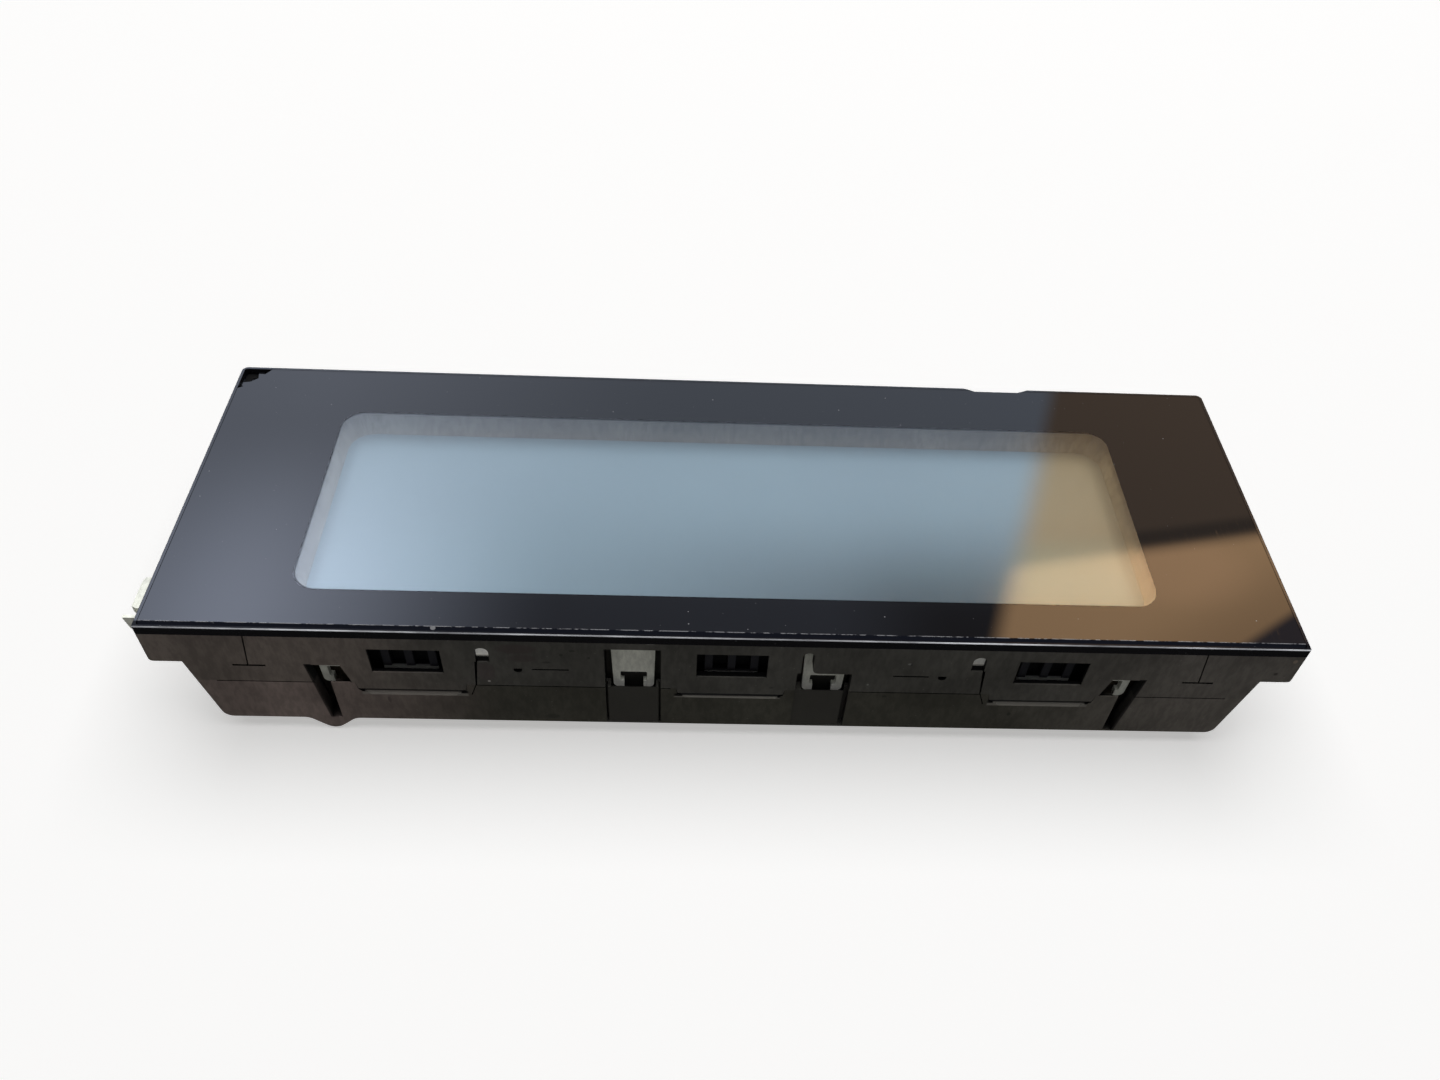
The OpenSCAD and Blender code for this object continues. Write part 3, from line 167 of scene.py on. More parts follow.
# Painted shade in the leaning guide grooves near both ends: x at their top, their walls, the lean a
# millimetre, the lower end
RUN_X = (72.6, 73.9)
RUN_WALLS_X = (68.5, 73.9)
RUN_WALLS_INWARD = (0.22, 2.2)
RUN_TOP = 9.4
RUN_LEAN = 0.1
RUN_END = (25.2, 25.8)
# The snap tongues, with painted shade in the shut line under them and painted light on the chamfer: x of both
# ends, depth of the shut line under them, and of the chamfer's lower edge
TONGUES = (
    (-65.3, -46.6, 17.05, 18.1),
    (-10.0, 9.0, 16.65, 17.3),
    (46.8, 65.2, 17.05, 18.1),
)
CHAMFER_LIGHT = (0.205, 0.195, 0.175)
# Painted shade in the lead-in channels under the latch plates
CHANNELS_X = ((-22.2, -12.4), (11.5, 21.2))
CHANNEL_SHADE = (0.050, 0.048, 0.043)

# Smudges and pecks as the photo shows them: x and depth, half sizes, strength and colour
SMUDGE = (0.060, 0.048, 0.046)
PECK = (0.035, 0.034, 0.030)
DARK_PECK = (0.03, 0.03, 0.025)
HOUSING_SPOTS = (
    ((-37.0, 4.0), (3.4, 1.3), 0.7, SMUDGE),
    ((-36.2, 6.6), (2.4, 1.0), 0.6, SMUDGE),
    ((-42.8, 10.6), (1.6, 2.6), 0.5, (0.075, 0.058, 0.058)),
    ((-27.6, 4.2), (0.5, 0.3), 0.8, PECK),
    ((-29.5, 5.4), (0.3, 0.4), 0.8, PECK),
    ((-32.2, 7.6), (0.8, 0.3), 0.7, PECK),
    ((-24.8, 6.1), (0.25, 0.3), 0.8, PECK),
    ((-42.5, 13.4), (0.25, 0.25), 0.9, (0.40, 0.38, 0.36)),
    ((-14.2, 1.9), (0.7, 0.15), 0.5, (0.25, 0.24, 0.22)),
    ((30.9, 6.1), (0.4, 0.25), 0.8, (0.22, 0.22, 0.21)),
    ((31.2, 6.2), (0.2, 0.3), 0.8, (0.03, 0.03, 0.03)),
    ((24.3, 12.4), (0.2, 0.25), 0.8, (0.22, 0.22, 0.20)),
    ((98.3, 3.2), (0.4, 0.5), 0.6, (0.30, 0.24, 0.19)),
    ((96.2, 6.9), (0.35, 0.4), 0.8, (0.04, 0.035, 0.03)),
    ((7.2, 13.9), (0.4, 0.25), 0.6, (0.04, 0.04, 0.035)),
)
COVER_SPOTS = (
    ((27.7, 15.9), (0.4, 0.3), 0.8, DARK_PECK),
    ((-60.8, 19.6), (0.3, 0.9), 0.6, (0.06, 0.05, 0.045)),
    ((51.5, 20.8), (0.3, 0.5), 0.8, DARK_PECK),
    ((-32.0, 24.0), (1.2, 0.7), 0.5, DARK_PECK),
    ((-8.3, 18.6), (0.3, 1.2), 0.5, (0.035, 0.033, 0.028)),
)


def new_material(name):
    """A material with an empty node tree and its output."""
    mat = bpy.data.materials.new(name)
    mat.use_nodes = True
    mat.node_tree.nodes.clear()
    out = mat.node_tree.nodes.new("ShaderNodeOutputMaterial")
    return mat, mat.node_tree, out


def add(tree, kind, inputs=None, **settings):
    """A node with its inputs set to values or linked from sockets."""
    made = tree.nodes.new(kind)
    for key, value in settings.items():
        setattr(made, key, value)
    for key, value in (inputs or {}).items():
        put(tree, made.inputs[key], value)
    return made


def put(tree, socket, value):
    """Links a socket to the input, or sets the input's value."""
    if isinstance(value, bpy.types.NodeSocket):
        tree.links.new(value, socket)
    elif isinstance(value, tuple) and len(value) == 3 and socket.type == "RGBA":
        socket.default_value = (*value, 1.0)
    else:
        socket.default_value = value


def calc(tree, operation, a, b=0.0):
    """The result of a math node."""
    return add(tree, "ShaderNodeMath", {0: a, 1: b}, operation=operation).outputs[0]


def total(tree, first, *others):
    """The values added."""
    for value in others:
        first = calc(tree, "ADD", first, value)
    return first


def product(tree, first, *others):
    """The values multiplied. Of masks it keeps what all of them share."""
    for value in others:
        first = calc(tree, "MULTIPLY", first, value)
    return first


def minus(tree, a, b):
    """One value less another."""
    return calc(tree, "SUBTRACT", a, b)


def highest(tree, first, *others):
    """The highest of the values. Of masks it joins all of them."""
    for value in others:
        first = calc(tree, "MAXIMUM", first, value)
    return first


def unsigned(tree, value):
    """A value without its sign."""
    return calc(tree, "ABSOLUTE", value)


def ramp(tree, value, low, high, to_low=0.0, to_high=1.0, smooth=True):
    """Maps a value from one range to another, clamped."""
    return add(tree, "ShaderNodeMapRange", {
        "Value": value, "From Min": low, "From Max": high, "To Min": to_low, "To Max": to_high,
    }, interpolation_type="SMOOTHSTEP" if smooth else "LINEAR").outputs["Result"]


def band(tree, value, low, high, soft):
    """1 between two values, with soft edges."""
    up = ramp(tree, value, low - soft, low + soft)
    down = ramp(tree, value, high - soft, high + soft, 1.0, 0.0)
    return product(tree, up, down)


def blend(tree, factor, a, b):
    """Mixes two colours."""
    return add(tree, "ShaderNodeMix", {0: factor, 6: a, 7: b}, data_type="RGBA").outputs[2]


def times(tree, color, factor):
    """A colour times a value."""
    grey = add(tree, "ShaderNodeCombineXYZ", {"X": factor, "Y": factor, "Z": factor}).outputs[0]
    return add(tree, "ShaderNodeVectorMath", {0: color, 1: grey}, operation="MULTIPLY").outputs[0]


def matte(tree, color):
    """A plain matte shader."""
    return add(tree, "ShaderNodeBsdfDiffuse", {"Color": color}).outputs[0]


def shining(tree, color, strength=1.0):
    """A shader that gives off light."""
    return add(tree, "ShaderNodeEmission", {"Color": color, "Strength": strength}).outputs[0]


def mix_shaders(tree, factor, first, second):
    """The first shader where the factor is 0, and the second where it is 1."""
    return add(tree, "ShaderNodeMixShader", {0: factor, 1: first, 2: second}).outputs[0]


def place(tree, stretch=(1, 1, 1)):
    """Position on the object in millimetres, stretched where asked."""
    where = add(tree, "ShaderNodeTexCoord").outputs["Object"]
    scale = tuple(s / MM for s in stretch)
    return add(tree, "ShaderNodeMapping", {"Vector": where, "Scale": scale}).outputs["Vector"]


def axes(tree):
    """Millimetres on the object: X from the lens's middle, Y, and the depth under the lens's face."""
    parts = add(tree, "ShaderNodeSeparateXYZ", {"Vector": place(tree)})
    x = minus(tree, parts.outputs[0], MIDDLE_X / MM)
    depth = minus(tree, TOP / MM, parts.outputs[2])
    return x, parts.outputs[1], depth


def near_axes(tree):
    """X from the lens's middle, the way inward from the near wall's face, and the depth."""
    x, y, depth = axes(tree)
    return x, minus(tree, y, NEAR_FACE), depth


def noise(tree, scale, detail=2.0, stretch=(1, 1, 1), rough=0.5):
    """Noise with this many features a millimetre."""
    return add(tree, "ShaderNodeTexNoise", {
        "Vector": place(tree, stretch), "Scale": scale, "Detail": detail, "Roughness": rough,
    }).outputs["Fac"]


def spot(tree, u, v, at, half, soft=0.35):
    """1 in an ellipse round a place, with a soft edge."""
    across = calc(tree, "DIVIDE", minus(tree, u, at[0]), half[0])
    along = calc(tree, "DIVIDE", minus(tree, v, at[1]), half[1])
    away = total(tree, product(tree, across, across), product(tree, along, along))
    return ramp(tree, away, 1.0 - soft, 1.0 + soft, 1.0, 0.0)


def specks(tree, scale, size, share):
    """Round specks: scale a millimetre, radius as part of a cell, and the share of cells that has one."""
    cells = add(tree, "ShaderNodeTexVoronoi", {"Vector": place(tree), "Scale": scale})
    near = ramp(tree, cells.outputs["Distance"], size * 0.6, size, 1.0, 0.0)
    pick = add(tree, "ShaderNodeSeparateColor", {"Color": cells.outputs["Color"]}).outputs[0]
    return product(tree, near, calc(tree, "LESS_THAN", pick, share))


def hairlines(tree, scale, angle, thin):
    """Fine straight scratches that run at an angle in the XY plane."""
    where = add(tree, "ShaderNodeTexCoord").outputs["Object"]
    across = scale / MM
    along = 0.024 * across
    turned = add(tree, "ShaderNodeMapping", {
        "Vector": where, "Rotation": (0, 0, math.radians(angle)), "Scale": (across, along, across),
    }).outputs["Vector"]
    lines = add(tree, "ShaderNodeTexNoise", {"Vector": turned, "Scale": 1.0, "Detail": 1.0}).outputs["Fac"]
    return ramp(tree, unsigned(tree, minus(tree, lines, 0.5)), 0.0, thin, 1.0, 0.0)


def bump(tree, height, strength, distance):
    """A bump from a height, in millimetres."""
    return add(tree, "ShaderNodeBump", {
        "Height": height, "Strength": strength, "Distance": distance * MM,
    }).outputs["Normal"]


def principled(tree, out, inputs):
    """The main shader of a material."""
    made = add(tree, "ShaderNodeBsdfPrincipled", inputs)
    put(tree, out.inputs["Surface"], made.outputs[0])
    return made


def recess_shade(tree, reach=2.5):
    """Painted shade from occlusion: 0 in grooves, slots and holes, 1 on open faces."""
    open_sky = add(tree, "ShaderNodeAmbientOcclusion", {"Distance": reach * MM}, samples=12).outputs["AO"]
    return ramp(tree, open_sky, 0.42, 0.86)


def seen_directly(tree):
    """1 for rays from the camera, a mirror or clear glass."""
    path = add(tree, "ShaderNodeLightPath").outputs
    return highest(tree, path["Is Camera Ray"], path["Is Glossy Ray"], path["Is Transmission Ray"])


def painted_end_light(tree, color, ends):
    """Painted light: a colour that changes towards the left and the right end, along a wandering border."""
    wander = product(tree, minus(tree, noise(tree, 0.03, 3.0), 0.5), PAINTED_LIGHT_WANDER)
    x = total(tree, axes(tree)[0], wander)
    left_end_lit = blend(tree, ramp(tree, x, *LEFT_PAINTED_LIGHT_X, 1.0, 0.0), color, ends[0])
    return blend(tree, ramp(tree, x, *RIGHT_PAINTED_LIGHT_X), left_end_lit, ends[1])


def moulded(name, color, rough=0.55, grain=0.35, dust=0.15, specular=0.3, ends=None, marks=None, deep=1.0,
            glow=None):
    """Moulded plastic with fine grain, mottling, a little dust, and painted shade that darkens its recesses.

    ends: colours of painted light towards the left and right end; marks: a function that adds a part's own
    marks, painted shade and light among them;
    deep: how bright the painted shade leaves recesses; glow: a function for a glow that stands in for light
    that deep narrow holes let in.
    """
    mat, tree, out = new_material(name)
    cloud = noise(tree, 0.08, 4.0)
    base = painted_end_light(tree, color, ends) if ends else color
    mottled = ramp(tree, cloud, 0.3, 0.7, 0.86, 1.14)
    scuffed = ramp(tree, noise(tree, 0.7, 5.0, stretch=(1.4, 1, 0.5), rough=0.65), 0.35, 0.65, 0.87, 1.13)
    base = times(tree, base, product(tree, mottled, scuffed))
    spots = specks(tree, 1.1, 0.16, 0.10)
    base = blend(tree, product(tree, spots, dust), base, DUST_COLOR)
    if deep < 1.0:
        base = times(tree, base, highest(tree, recess_shade(tree), deep))
    if marks:
        base = marks(tree, base)
    made = principled(tree, out, {
        "Base Color": base,
        "Roughness": ramp(tree, cloud, 0.3, 0.7, rough - 0.07, rough + 0.07),
        "Specular IOR Level": specular,
        "Normal": bump(tree, noise(tree, 9.0, 2.0), grain, 0.03),
    })
    if glow:
        put(tree, made.inputs["Emission Color"], GLOW_COLOR)
        put(tree, made.inputs["Emission Strength"], glow(tree))
    return mat


def carrier_glow(tree):
    """Painted light: a glow on the tabs behind the D-shaped holes and on the feet of the latch plates."""
    x, inward, depth = near_axes(tree)
    left = product(tree, band(tree, x, -HOLE_X[1], -HOLE_X[0], 0.2), TAB_GLOW_LEFT)
    right = product(tree, band(tree, x, *HOLE_X, 0.2), TAB_GLOW_RIGHT)
    tabs = product(tree, band(tree, depth, *TAB_DEPTH, 0.2), total(tree, left, right))
    feet = product(tree, band(tree, x, *PLATES_X, 0.2), ramp(tree, depth, *FEET_DEPTH, 0.0, FEET_GLOW))
    return product(tree, band(tree, inward, *PLATE_INWARD, 0.1), total(tree, tabs, feet))


def small_marks(tree, base, table, x, depth, where=1.0):
    """Smudges and pecks from a table, inside a mask."""
    for at, half, strength, color in table:
        here = product(tree, spot(tree, x, depth, at, half, 0.6), where, strength)
        base = blend(tree, here, base, color)
    return base


def tongue_lines(tree, base, x, depth):
    """Painted shade in the shut lines under the three snap tongues, over the chamfers that lead the tongues
    in, made pale by painted light.
    """
    for low, high, line, lip in TONGUES:
        across = band(tree, x, low, high, 0.2)
        chamfer = product(tree, across, band(tree, depth, line + 0.3, lip, 0.1), 0.7)
        base = blend(tree, chamfer, base, CHAMFER_LIGHT)
        shut = product(tree, across, band(tree, depth, line - 0.5, line + 0.24, 0.06), 0.95)
        base = blend(tree, shut, base, PAINTED_SHADE_BLACK)
    return base


def end_runs(tree, x, depth, low, high):
    """1 along the leaning guide grooves near both ends, from one distance to another at their top."""
    upright = total(tree, unsigned(tree, x), product(tree, minus(tree, depth, RUN_TOP), RUN_LEAN))
    starts = ramp(tree, depth, RUN_TOP - 0.1, RUN_TOP + 0.1)
    stops = ramp(tree, depth, *RUN_END, 1.0, 0.0)
    return product(tree, band(tree, upright, low, high, 0.12), starts, stops)


def housing_marks(tree, base):
    """Painted shade on the walls inside the near wall's holes and in the guide grooves, pale sills, smudges
    and pecks.
    """
    x, inward, depth = near_axes(tree)
    inside = product(tree, band(tree, inward, *OPENINGS_INWARD, 0.08), band(tree, x, *OPENINGS_X, 0.5),
                     band(tree, depth, *OPENINGS_DEPTH, 0.2))
    base = blend(tree, inside, base, PAINTED_SHADE_BLACK)
    sill = product(tree, band(tree, unsigned(tree, x), *HOLE_X, 0.2), ramp(tree, inward, *SILL_INWARD),
                   band(tree, depth, *SILL_DEPTH, 0.2))
    base = blend(tree, sill, base, SILL_COLOR)
    wall = ramp(tree, inward, *WALL_INWARD, 1.0, 0.0)
    run = product(tree, end_runs(tree, x, depth, *RUN_X), wall, 0.9)
    base = blend(tree, run, base, PAINTED_SHADE_BLACK)
    return small_marks(tree, base, HOUSING_SPOTS, x, depth, wall)


def catch_marks(tree, base, x, inward, depth):
    """Painted shade on the catches behind the snap windows and their ribs, and painted light on the bar on
    them.
    """
    space = product(tree, band(tree, inward, *CATCH_INWARD, 0.1), band(tree, depth, *CATCH_DEPTH, 0.1))
    hidden = blend(tree, ramp(tree, unsigned(tree, x), *END_POCKET_X), PAINTED_SHADE_BLACK, END_POCKET_COLOR)
    ribs = ramp(tree, inward, *RIB_INWARD, 1.0, 0.0)
    base = blend(tree, space, base, blend(tree, ribs, hidden, RIB_COLOR))
    outer = ramp(tree, unsigned(tree, x), *OUTER_SNAP_X)
    bar_top = ramp(tree, outer, 0.0, 1.0, BAR_DEPTH_MIDDLE, BAR_DEPTH_OUTER, smooth=False)
    bar = product(tree, band(tree, minus(tree, depth, bar_top), 0.0, BAR_HIGH, 0.05), ribs, space)
    return blend(tree, bar, base, BAR_COLOR)


def cover_marks(tree, base):
    """Painted shade on the catches, in the guide grooves, the shut lines and the lead-in channels, painted
    light on the bar and the chamfers, and a few pecks.
    """
    x, inward, depth = near_axes(tree)
    base = catch_marks(tree, base, x, inward, depth)
    walls = product(tree, band(tree, inward, *RUN_WALLS_INWARD, 0.08),
                    end_runs(tree, x, depth, *RUN_WALLS_X))
    runs = highest(tree, end_runs(tree, x, depth, *RUN_X), walls)
    base = blend(tree, product(tree, runs, 0.85), base, PAINTED_SHADE_BLACK)
    base = tongue_lines(tree, base, x, depth)
    for low, high in CHANNELS_X:
        base = blend(tree, product(tree, band(tree, x, low, high, 0.1), 0.8), base, CHANNEL_SHADE)
    return small_marks(tree, base, COVER_SPOTS, x, depth)


def gloss_black():
    """Piano black frame with hairlines, fine dust and a painted highlight line along the near rim."""
    mat, tree, out = new_material("frame_black")
    inward, depth = near_axes(tree)[1:]
    spots = specks(tree, 0.9, 0.12, 0.05)
    base = blend(tree, product(tree, spots, 0.3), FRAME_BLACK, FRAME_DUST)
    # Painted highlight: a pale line on the near rim's rounding, uneven along it
    edge = spot(tree, inward, depth, PAINTED_HIGHLIGHT_AT, PAINTED_HIGHLIGHT_HALF, 0.5)
    wander = ramp(tree, noise(tree, 0.035, 2.0, stretch=(1, 0, 0)), 0.35, 0.65, 0.25, 1.0)
    fleck = ramp(tree, noise(tree, 0.8, 3.0, stretch=(0.4, 1, 1)), 0.3, 0.6, 0.7, 1.0)
    base = blend(tree, product(tree, edge, wander, fleck), base, PAINTED_HIGHLIGHT_COLOR)
    cloud = ramp(tree, noise(tree, 0.3, 3.0), 0.3, 0.7, 0.06, 0.12)
    lines = highest(tree, hairlines(tree, 0.6, 12, 0.004), hairlines(tree, 0.5, -35, 0.003), edge)
    flat = product(tree, ramp(tree, inward, *FLAT_INWARD, 1.0, 0.0),
                   ramp(tree, depth, *FLAT_DEPTH, 1.0, 0.0))
    principled(tree, out, {
        "Base Color": base,
        "Roughness": total(tree, cloud, product(tree, lines, 0.2)),
        "Specular IOR Level": ramp(tree, flat, 0.0, 1.0, 0.5, 0.05),
    })
    return mat


def in_window(tree, x, y, window):
    """1 inside a clear window with rounded corners, 0 outside it."""
    squares = []
    for value, middle, half in zip((x, y), *window):
        away = unsigned(tree, minus(tree, value, middle))
        over = highest(tree, minus(tree, away, half - WINDOW_R), 0.0)
        squares.append(product(tree, over, over))
    reach = calc(tree, "SQRT", total(tree, *squares))
    return ramp(tree, reach, WINDOW_R - WINDOW_EDGE, WINDOW_R + WINDOW_EDGE, 1.0, 0.0)


def acrylic_body(tree, black):
    """The lens under its gloss: black where printed, else clear, which bends what is seen through it."""
    straight = add(tree, "ShaderNodeBsdfTransparent", {"Color": ACRYLIC_TINT}).outputs[0]
    bent = add(tree, "ShaderNodeBsdfRefraction", {
        "Color": ACRYLIC_TINT, "Roughness": 0.0, "IOR": ACRYLIC_IOR,
    }).outputs[0]
    clear = mix_shaders(tree, seen_directly(tree), straight, bent)
    return mix_shaders(tree, black, clear, matte(tree, PRINT_BLACK))


def acrylic_shine(tree, back):
    """The lens's gloss, with smudges and hairlines, and softer in the window's inner mirror image."""
    smudge = ramp(tree, noise(tree, 0.05, 5.0, rough=0.6), 0.5, 0.75)
    lines = highest(tree, hairlines(tree, 0.35, 20, 0.003), hairlines(tree, 0.3, -50, 0.002))
    softer = ramp(tree, back, 0.0, 1.0, 0.012, 0.09)
    rough = total(tree, product(tree, smudge, 0.01), product(tree, lines, 0.06), softer)
    return add(tree, "ShaderNodeBsdfGlossy", {"Color": WHITE, "Roughness": rough}).outputs[0]


def acrylic_wear(tree):
    """Where the lens is worn or dusty: a speckled line along the near bevel, a chip beside it, and specks."""
    x, inward = near_axes(tree)[:2]
    edge = band(tree, inward, *WORN_INWARD, 0.04)
    ragged = ramp(tree, noise(tree, 1.6, 4.0, stretch=(0.6, 1, 1)), 0.40, 0.56)
    worn = highest(tree, product(tree, edge, ragged), spot(tree, x, inward, CHIP_AT, CHIP_HALF))
    dust = highest(tree, specks(tree, 0.5, 0.075, 0.16), specks(tree, 1.4, 0.09, 0.05))
    return highest(tree, product(tree, worn, 0.38), product(tree, dust, 0.3))


def clear_lens():
    """Clear acrylic: see-through with a sharp reflection, dust, smudges and a worn near edge."""
    mat, tree, out = new_material("lens_acrylic")
    x, y, depth = axes(tree)
    # The printed back is black outside the window and mirrors a second time inside it
    from_inside = add(tree, "ShaderNodeNewGeometry").outputs["Backfacing"]
    from_outside = minus(tree, 1.0, from_inside)
    back = product(tree, from_inside, calc(tree, "GREATER_THAN", depth, 0.3 * LENS_THICK))
    window = in_window(tree, x, y, PRINT_WINDOW)
    back_black = product(tree, back, minus(tree, 1.0, window))
    face_black = product(tree, from_outside, minus(tree, 1.0, in_window(tree, x, y, FACE_WINDOW)))
    body = acrylic_body(tree, highest(tree, back_black, face_black))
    # How much mirrors: the outside by its index, and the window's back like plain acrylic, but stronger
    facing = add(tree, "ShaderNodeLayerWeight", {"Blend": 0.5}).outputs["Facing"]
    steep = product(tree, calc(tree, "POWER", facing, 5.0), 1.0 - ACRYLIC_MIRROR)
    second = product(tree, total(tree, steep, ACRYLIC_MIRROR), WINDOW_MIRROR - 1.0, back, window)
    fresnel = add(tree, "ShaderNodeFresnel", {"IOR": ACRYLIC_IOR}).outputs[0]
    mirror = total(tree, product(tree, fresnel, from_outside), second)
    clean = mix_shaders(tree, mirror, body, acrylic_shine(tree, back))
    worn = mix_shaders(tree, acrylic_wear(tree), clean, matte(tree, WEAR_COLOR))
    put(tree, out.inputs["Surface"], worn)
    return mat


def display_face():
    """Satin polariser over the dark display cell, with a painted warm reflection at the right end, and
    painted light that is bright at the left and dim at the right of the near side.
    """
    mat, tree, out = new_material("display_face")
    x, y = axes(tree)[:2]
    cool = blend(tree, ramp(tree, noise(tree, 0.02, 3.0), 0.35, 0.65), *FACE_COOL)
    # Painted reflection: the warm colour at the right end
    warm = blend(tree, ramp(tree, y, -20.0, 0.0), *FACE_WARM_REFLECTION)
    slanted = total(tree, x, product(tree, y, SLANT))
    color = blend(tree, ramp(tree, slanted, *WARM_REFLECTION_FROM), cool, warm)
    # Painted light: bright at the left and dim at the right of the near side, even on the far side
    near_painted_light = ramp(tree, x, -50.0, 30.0, 1.20, 0.36, smooth=False)
    far = ramp(tree, y, -24.0, 6.0)
    level = total(tree, near_painted_light, product(tree, far, minus(tree, FAR_PAINTED_LIGHT, near_painted_light)))
    principled(tree, out, {
        "Base Color": times(tree, color, level),
        "Roughness": ramp(tree, noise(tree, 6.0, 2.0), 0.3, 0.7, 0.32, 0.38),
        "Specular IOR Level": 0.3,
    })
    return mat


def foil(name, color, rough, metallic=0.0):
    """A smooth sheet or can with faint clouding."""
    mat, tree, out = new_material(name)
    darker = tuple(0.92 * c for c in color)
    principled(tree, out, {
        "Base Color": blend(tree, ramp(tree, noise(tree, 0.15, 3.0), 0.35, 0.65), darker, color),
        "Roughness": ramp(tree, noise(tree, 1.5, 3.0), 0.3, 0.7, rough - 0.06, rough + 0.06),
        "Metallic": metallic,
    })
    return mat


def dress(mat, *names):
    """Gives CAD nodes their material."""
    for name in names:
        for slot in NODES[name].material_slots:
            slot.material = mat


def dress_shell():
    """Materials of the lens, the frame, the moulded shell, the carrier and the bezel."""
    dress(clear_lens(), "lens")
    dress(moulded("border_print", PRINT_BLACK, 0.6, 0.1, 0.0, 0.0), "mask_film")
    dress(moulded("black_tape", (0.008, 0.008, 0.008), 0.8, 0.6, 0.1, 0.05), "lens_tape", "foam_gasket")
    dress(gloss_black(), "front_frame")
    # Painted light makes the housing's and the cover's ends lighter and warmer, and painted shade darkens
    # their recesses
    dress(moulded("housing_plastic", (0.074, 0.072, 0.064), specular=0.15, deep=0.05, marks=housing_marks,
                  ends=((0.152, 0.128, 0.112), (0.118, 0.108, 0.096))), "front_housing")
    dress(moulded("cover_plastic", (0.058, 0.056, 0.045), specular=0.15, deep=0.05, marks=cover_marks,
                  ends=((0.200, 0.160, 0.144), (0.130, 0.118, 0.104))), "rear_cover")
    dress(moulded("carrier_plastic", (0.74, 0.75, 0.67), 0.5, 0.2, 0.0, 0.3, glow=carrier_glow), "light_box")
    # Painted light makes the bezel lighter at its left end, and a painted warm reflection colours its right
    # end
    dress(moulded("bezel_plastic", (0.215, 0.205, 0.190), 0.4, 0.1, 0.0, 0.3,
                  ends=((0.31, 0.32, 0.31), (0.30, 0.225, 0.12))), "lcd_bezel")


def dress_inside():
    """Materials of the display's layers, the electronics and the screws."""
    dress(display_face(), "front_polariser", "rear_polariser")
    dress(foil("display_cell", (0.10, 0.13, 0.14), 0.15), "lcd_glass")
    dress(foil("prism_sheet", (0.55, 0.58, 0.58), 0.3), "prism_film", "light_guide")
    dress(foil("white_sheet", (0.78, 0.78, 0.76), 0.5), "diffuser_sheet", "reflector_sheet")
    dress(moulded("solder_mask", (0.015, 0.09, 0.045), 0.35, 0.1, 0.0, 0.5), "main_board", "led_board")
    dress(foil("diode_body", (0.75, 0.68, 0.38), 0.4), "backlight_leds")
    dress(moulded("chip_black", (0.02, 0.02, 0.02), 0.5, 0.3, 0.0, 0.4),
          "processor", "driver_chip", "memory_chip")
    dress(foil("can_metal", (0.62, 0.62, 0.64), 0.3, 1.0), "capacitors", "crystal")
    dress(moulded("ferrite", (0.07, 0.07, 0.075), 0.6, 0.5, 0.0, 0.3), "choke_coil")
    dress(moulded("header_plastic", (0.56, 0.53, 0.42), 0.45, 0.2, 0.0, 0.4),
          "connector_header", "ribbon_socket")
    dress(foil("contact_metal", (0.78, 0.6, 0.3), 0.25, 1.0), "header_pins")
    dress(foil("ribbon_film", (0.45, 0.2, 0.04), 0.3), "ribbon_cable")
    dress(foil("screw_metal", (0.5, 0.5, 0.5), 0.35, 1.0), "board_screws", "cover_screws")


def make_world():
    """Even pale surroundings: plain white where they are seen, dimmer as a light."""
    world = bpy.data.worlds.new("surroundings")
    bpy.context.scene.world = world
    world.use_nodes = True
    tree = world.node_tree
    tree.nodes.clear()
    level = ramp(tree, seen_directly(tree), 0.0, 1.0, WORLD_LEVEL, 1.0, smooth=False)
    light = add(tree, "ShaderNodeBackground", {"Color": WHITE, "Strength": level})
    add(tree, "ShaderNodeOutputWorld", {"Surface": light.outputs[0]})


def plane(name, width, depth, at):
    """A level stage piece."""
    mesh = bpy.data.meshes.new(name)
    w, d = width / 2, depth / 2
    mesh.from_pydata([(-w, -d, 0), (w, -d, 0), (w, d, 0), (-w, d, 0)], [], [(0, 1, 2, 3)])
    made = bpy.data.objects.new(name, mesh)
    made.location = at
    bpy.context.scene.collection.objects.link(made)
    return made


def make_floor():
    """Pale floor that keeps the object's shadow. From below it is see-through, to show the rear face."""
    floor = plane("floor", FLOOR_SIZE, FLOOR_SIZE, (0, 0, -FLOOR_DROP))
    mat, tree, out = new_material("pale_floor")
    cloth = matte(tree, FLOOR_COLOR)
    lift = shining(tree, WHITE, product(tree, seen_directly(tree), FLOOR_LIFT))
    both = add(tree, "ShaderNodeAddShader", {0: cloth, 1: lift}).outputs[0]
    gone = add(tree, "ShaderNodeBsdfTransparent").outputs[0]
    below = add(tree, "ShaderNodeNewGeometry").outputs["Backfacing"]
    seen_below = product(tree, below, seen_directly(tree))
    put(tree, out.inputs["Surface"], mix_shaders(tree, seen_below, both, gone))
    floor.data.materials.append(mat)


def only_mirrored(card):
    """Leaves a card to mirrors and clear glass."""
    card.visible_camera = False
    card.visible_diffuse = False
    card.visible_shadow = False
    card.visible_volume_scatter = False


def make_table_card():
    """The dark table that the object's sides see; the camera and the floor's light pass through it."""
    card = plane("table_card", TABLE_SIZE, TABLE_SIZE, (0, 0, -TABLE_DROP))
    card.visible_camera = False
    card.visible_shadow = False
    card.visible_transmission = False
    mat, tree, out = new_material("table_card")
    mirrored = add(tree, "ShaderNodeLightPath").outputs["Is Glossy Ray"]
    level = ramp(tree, mirrored, 0.0, 1.0, TABLE_LEVEL, TABLE_LEVEL / 4, smooth=False)
    put(tree, out.inputs["Surface"], shining(tree, TABLE_COLOR, level))
    card.data.materials.append(mat)


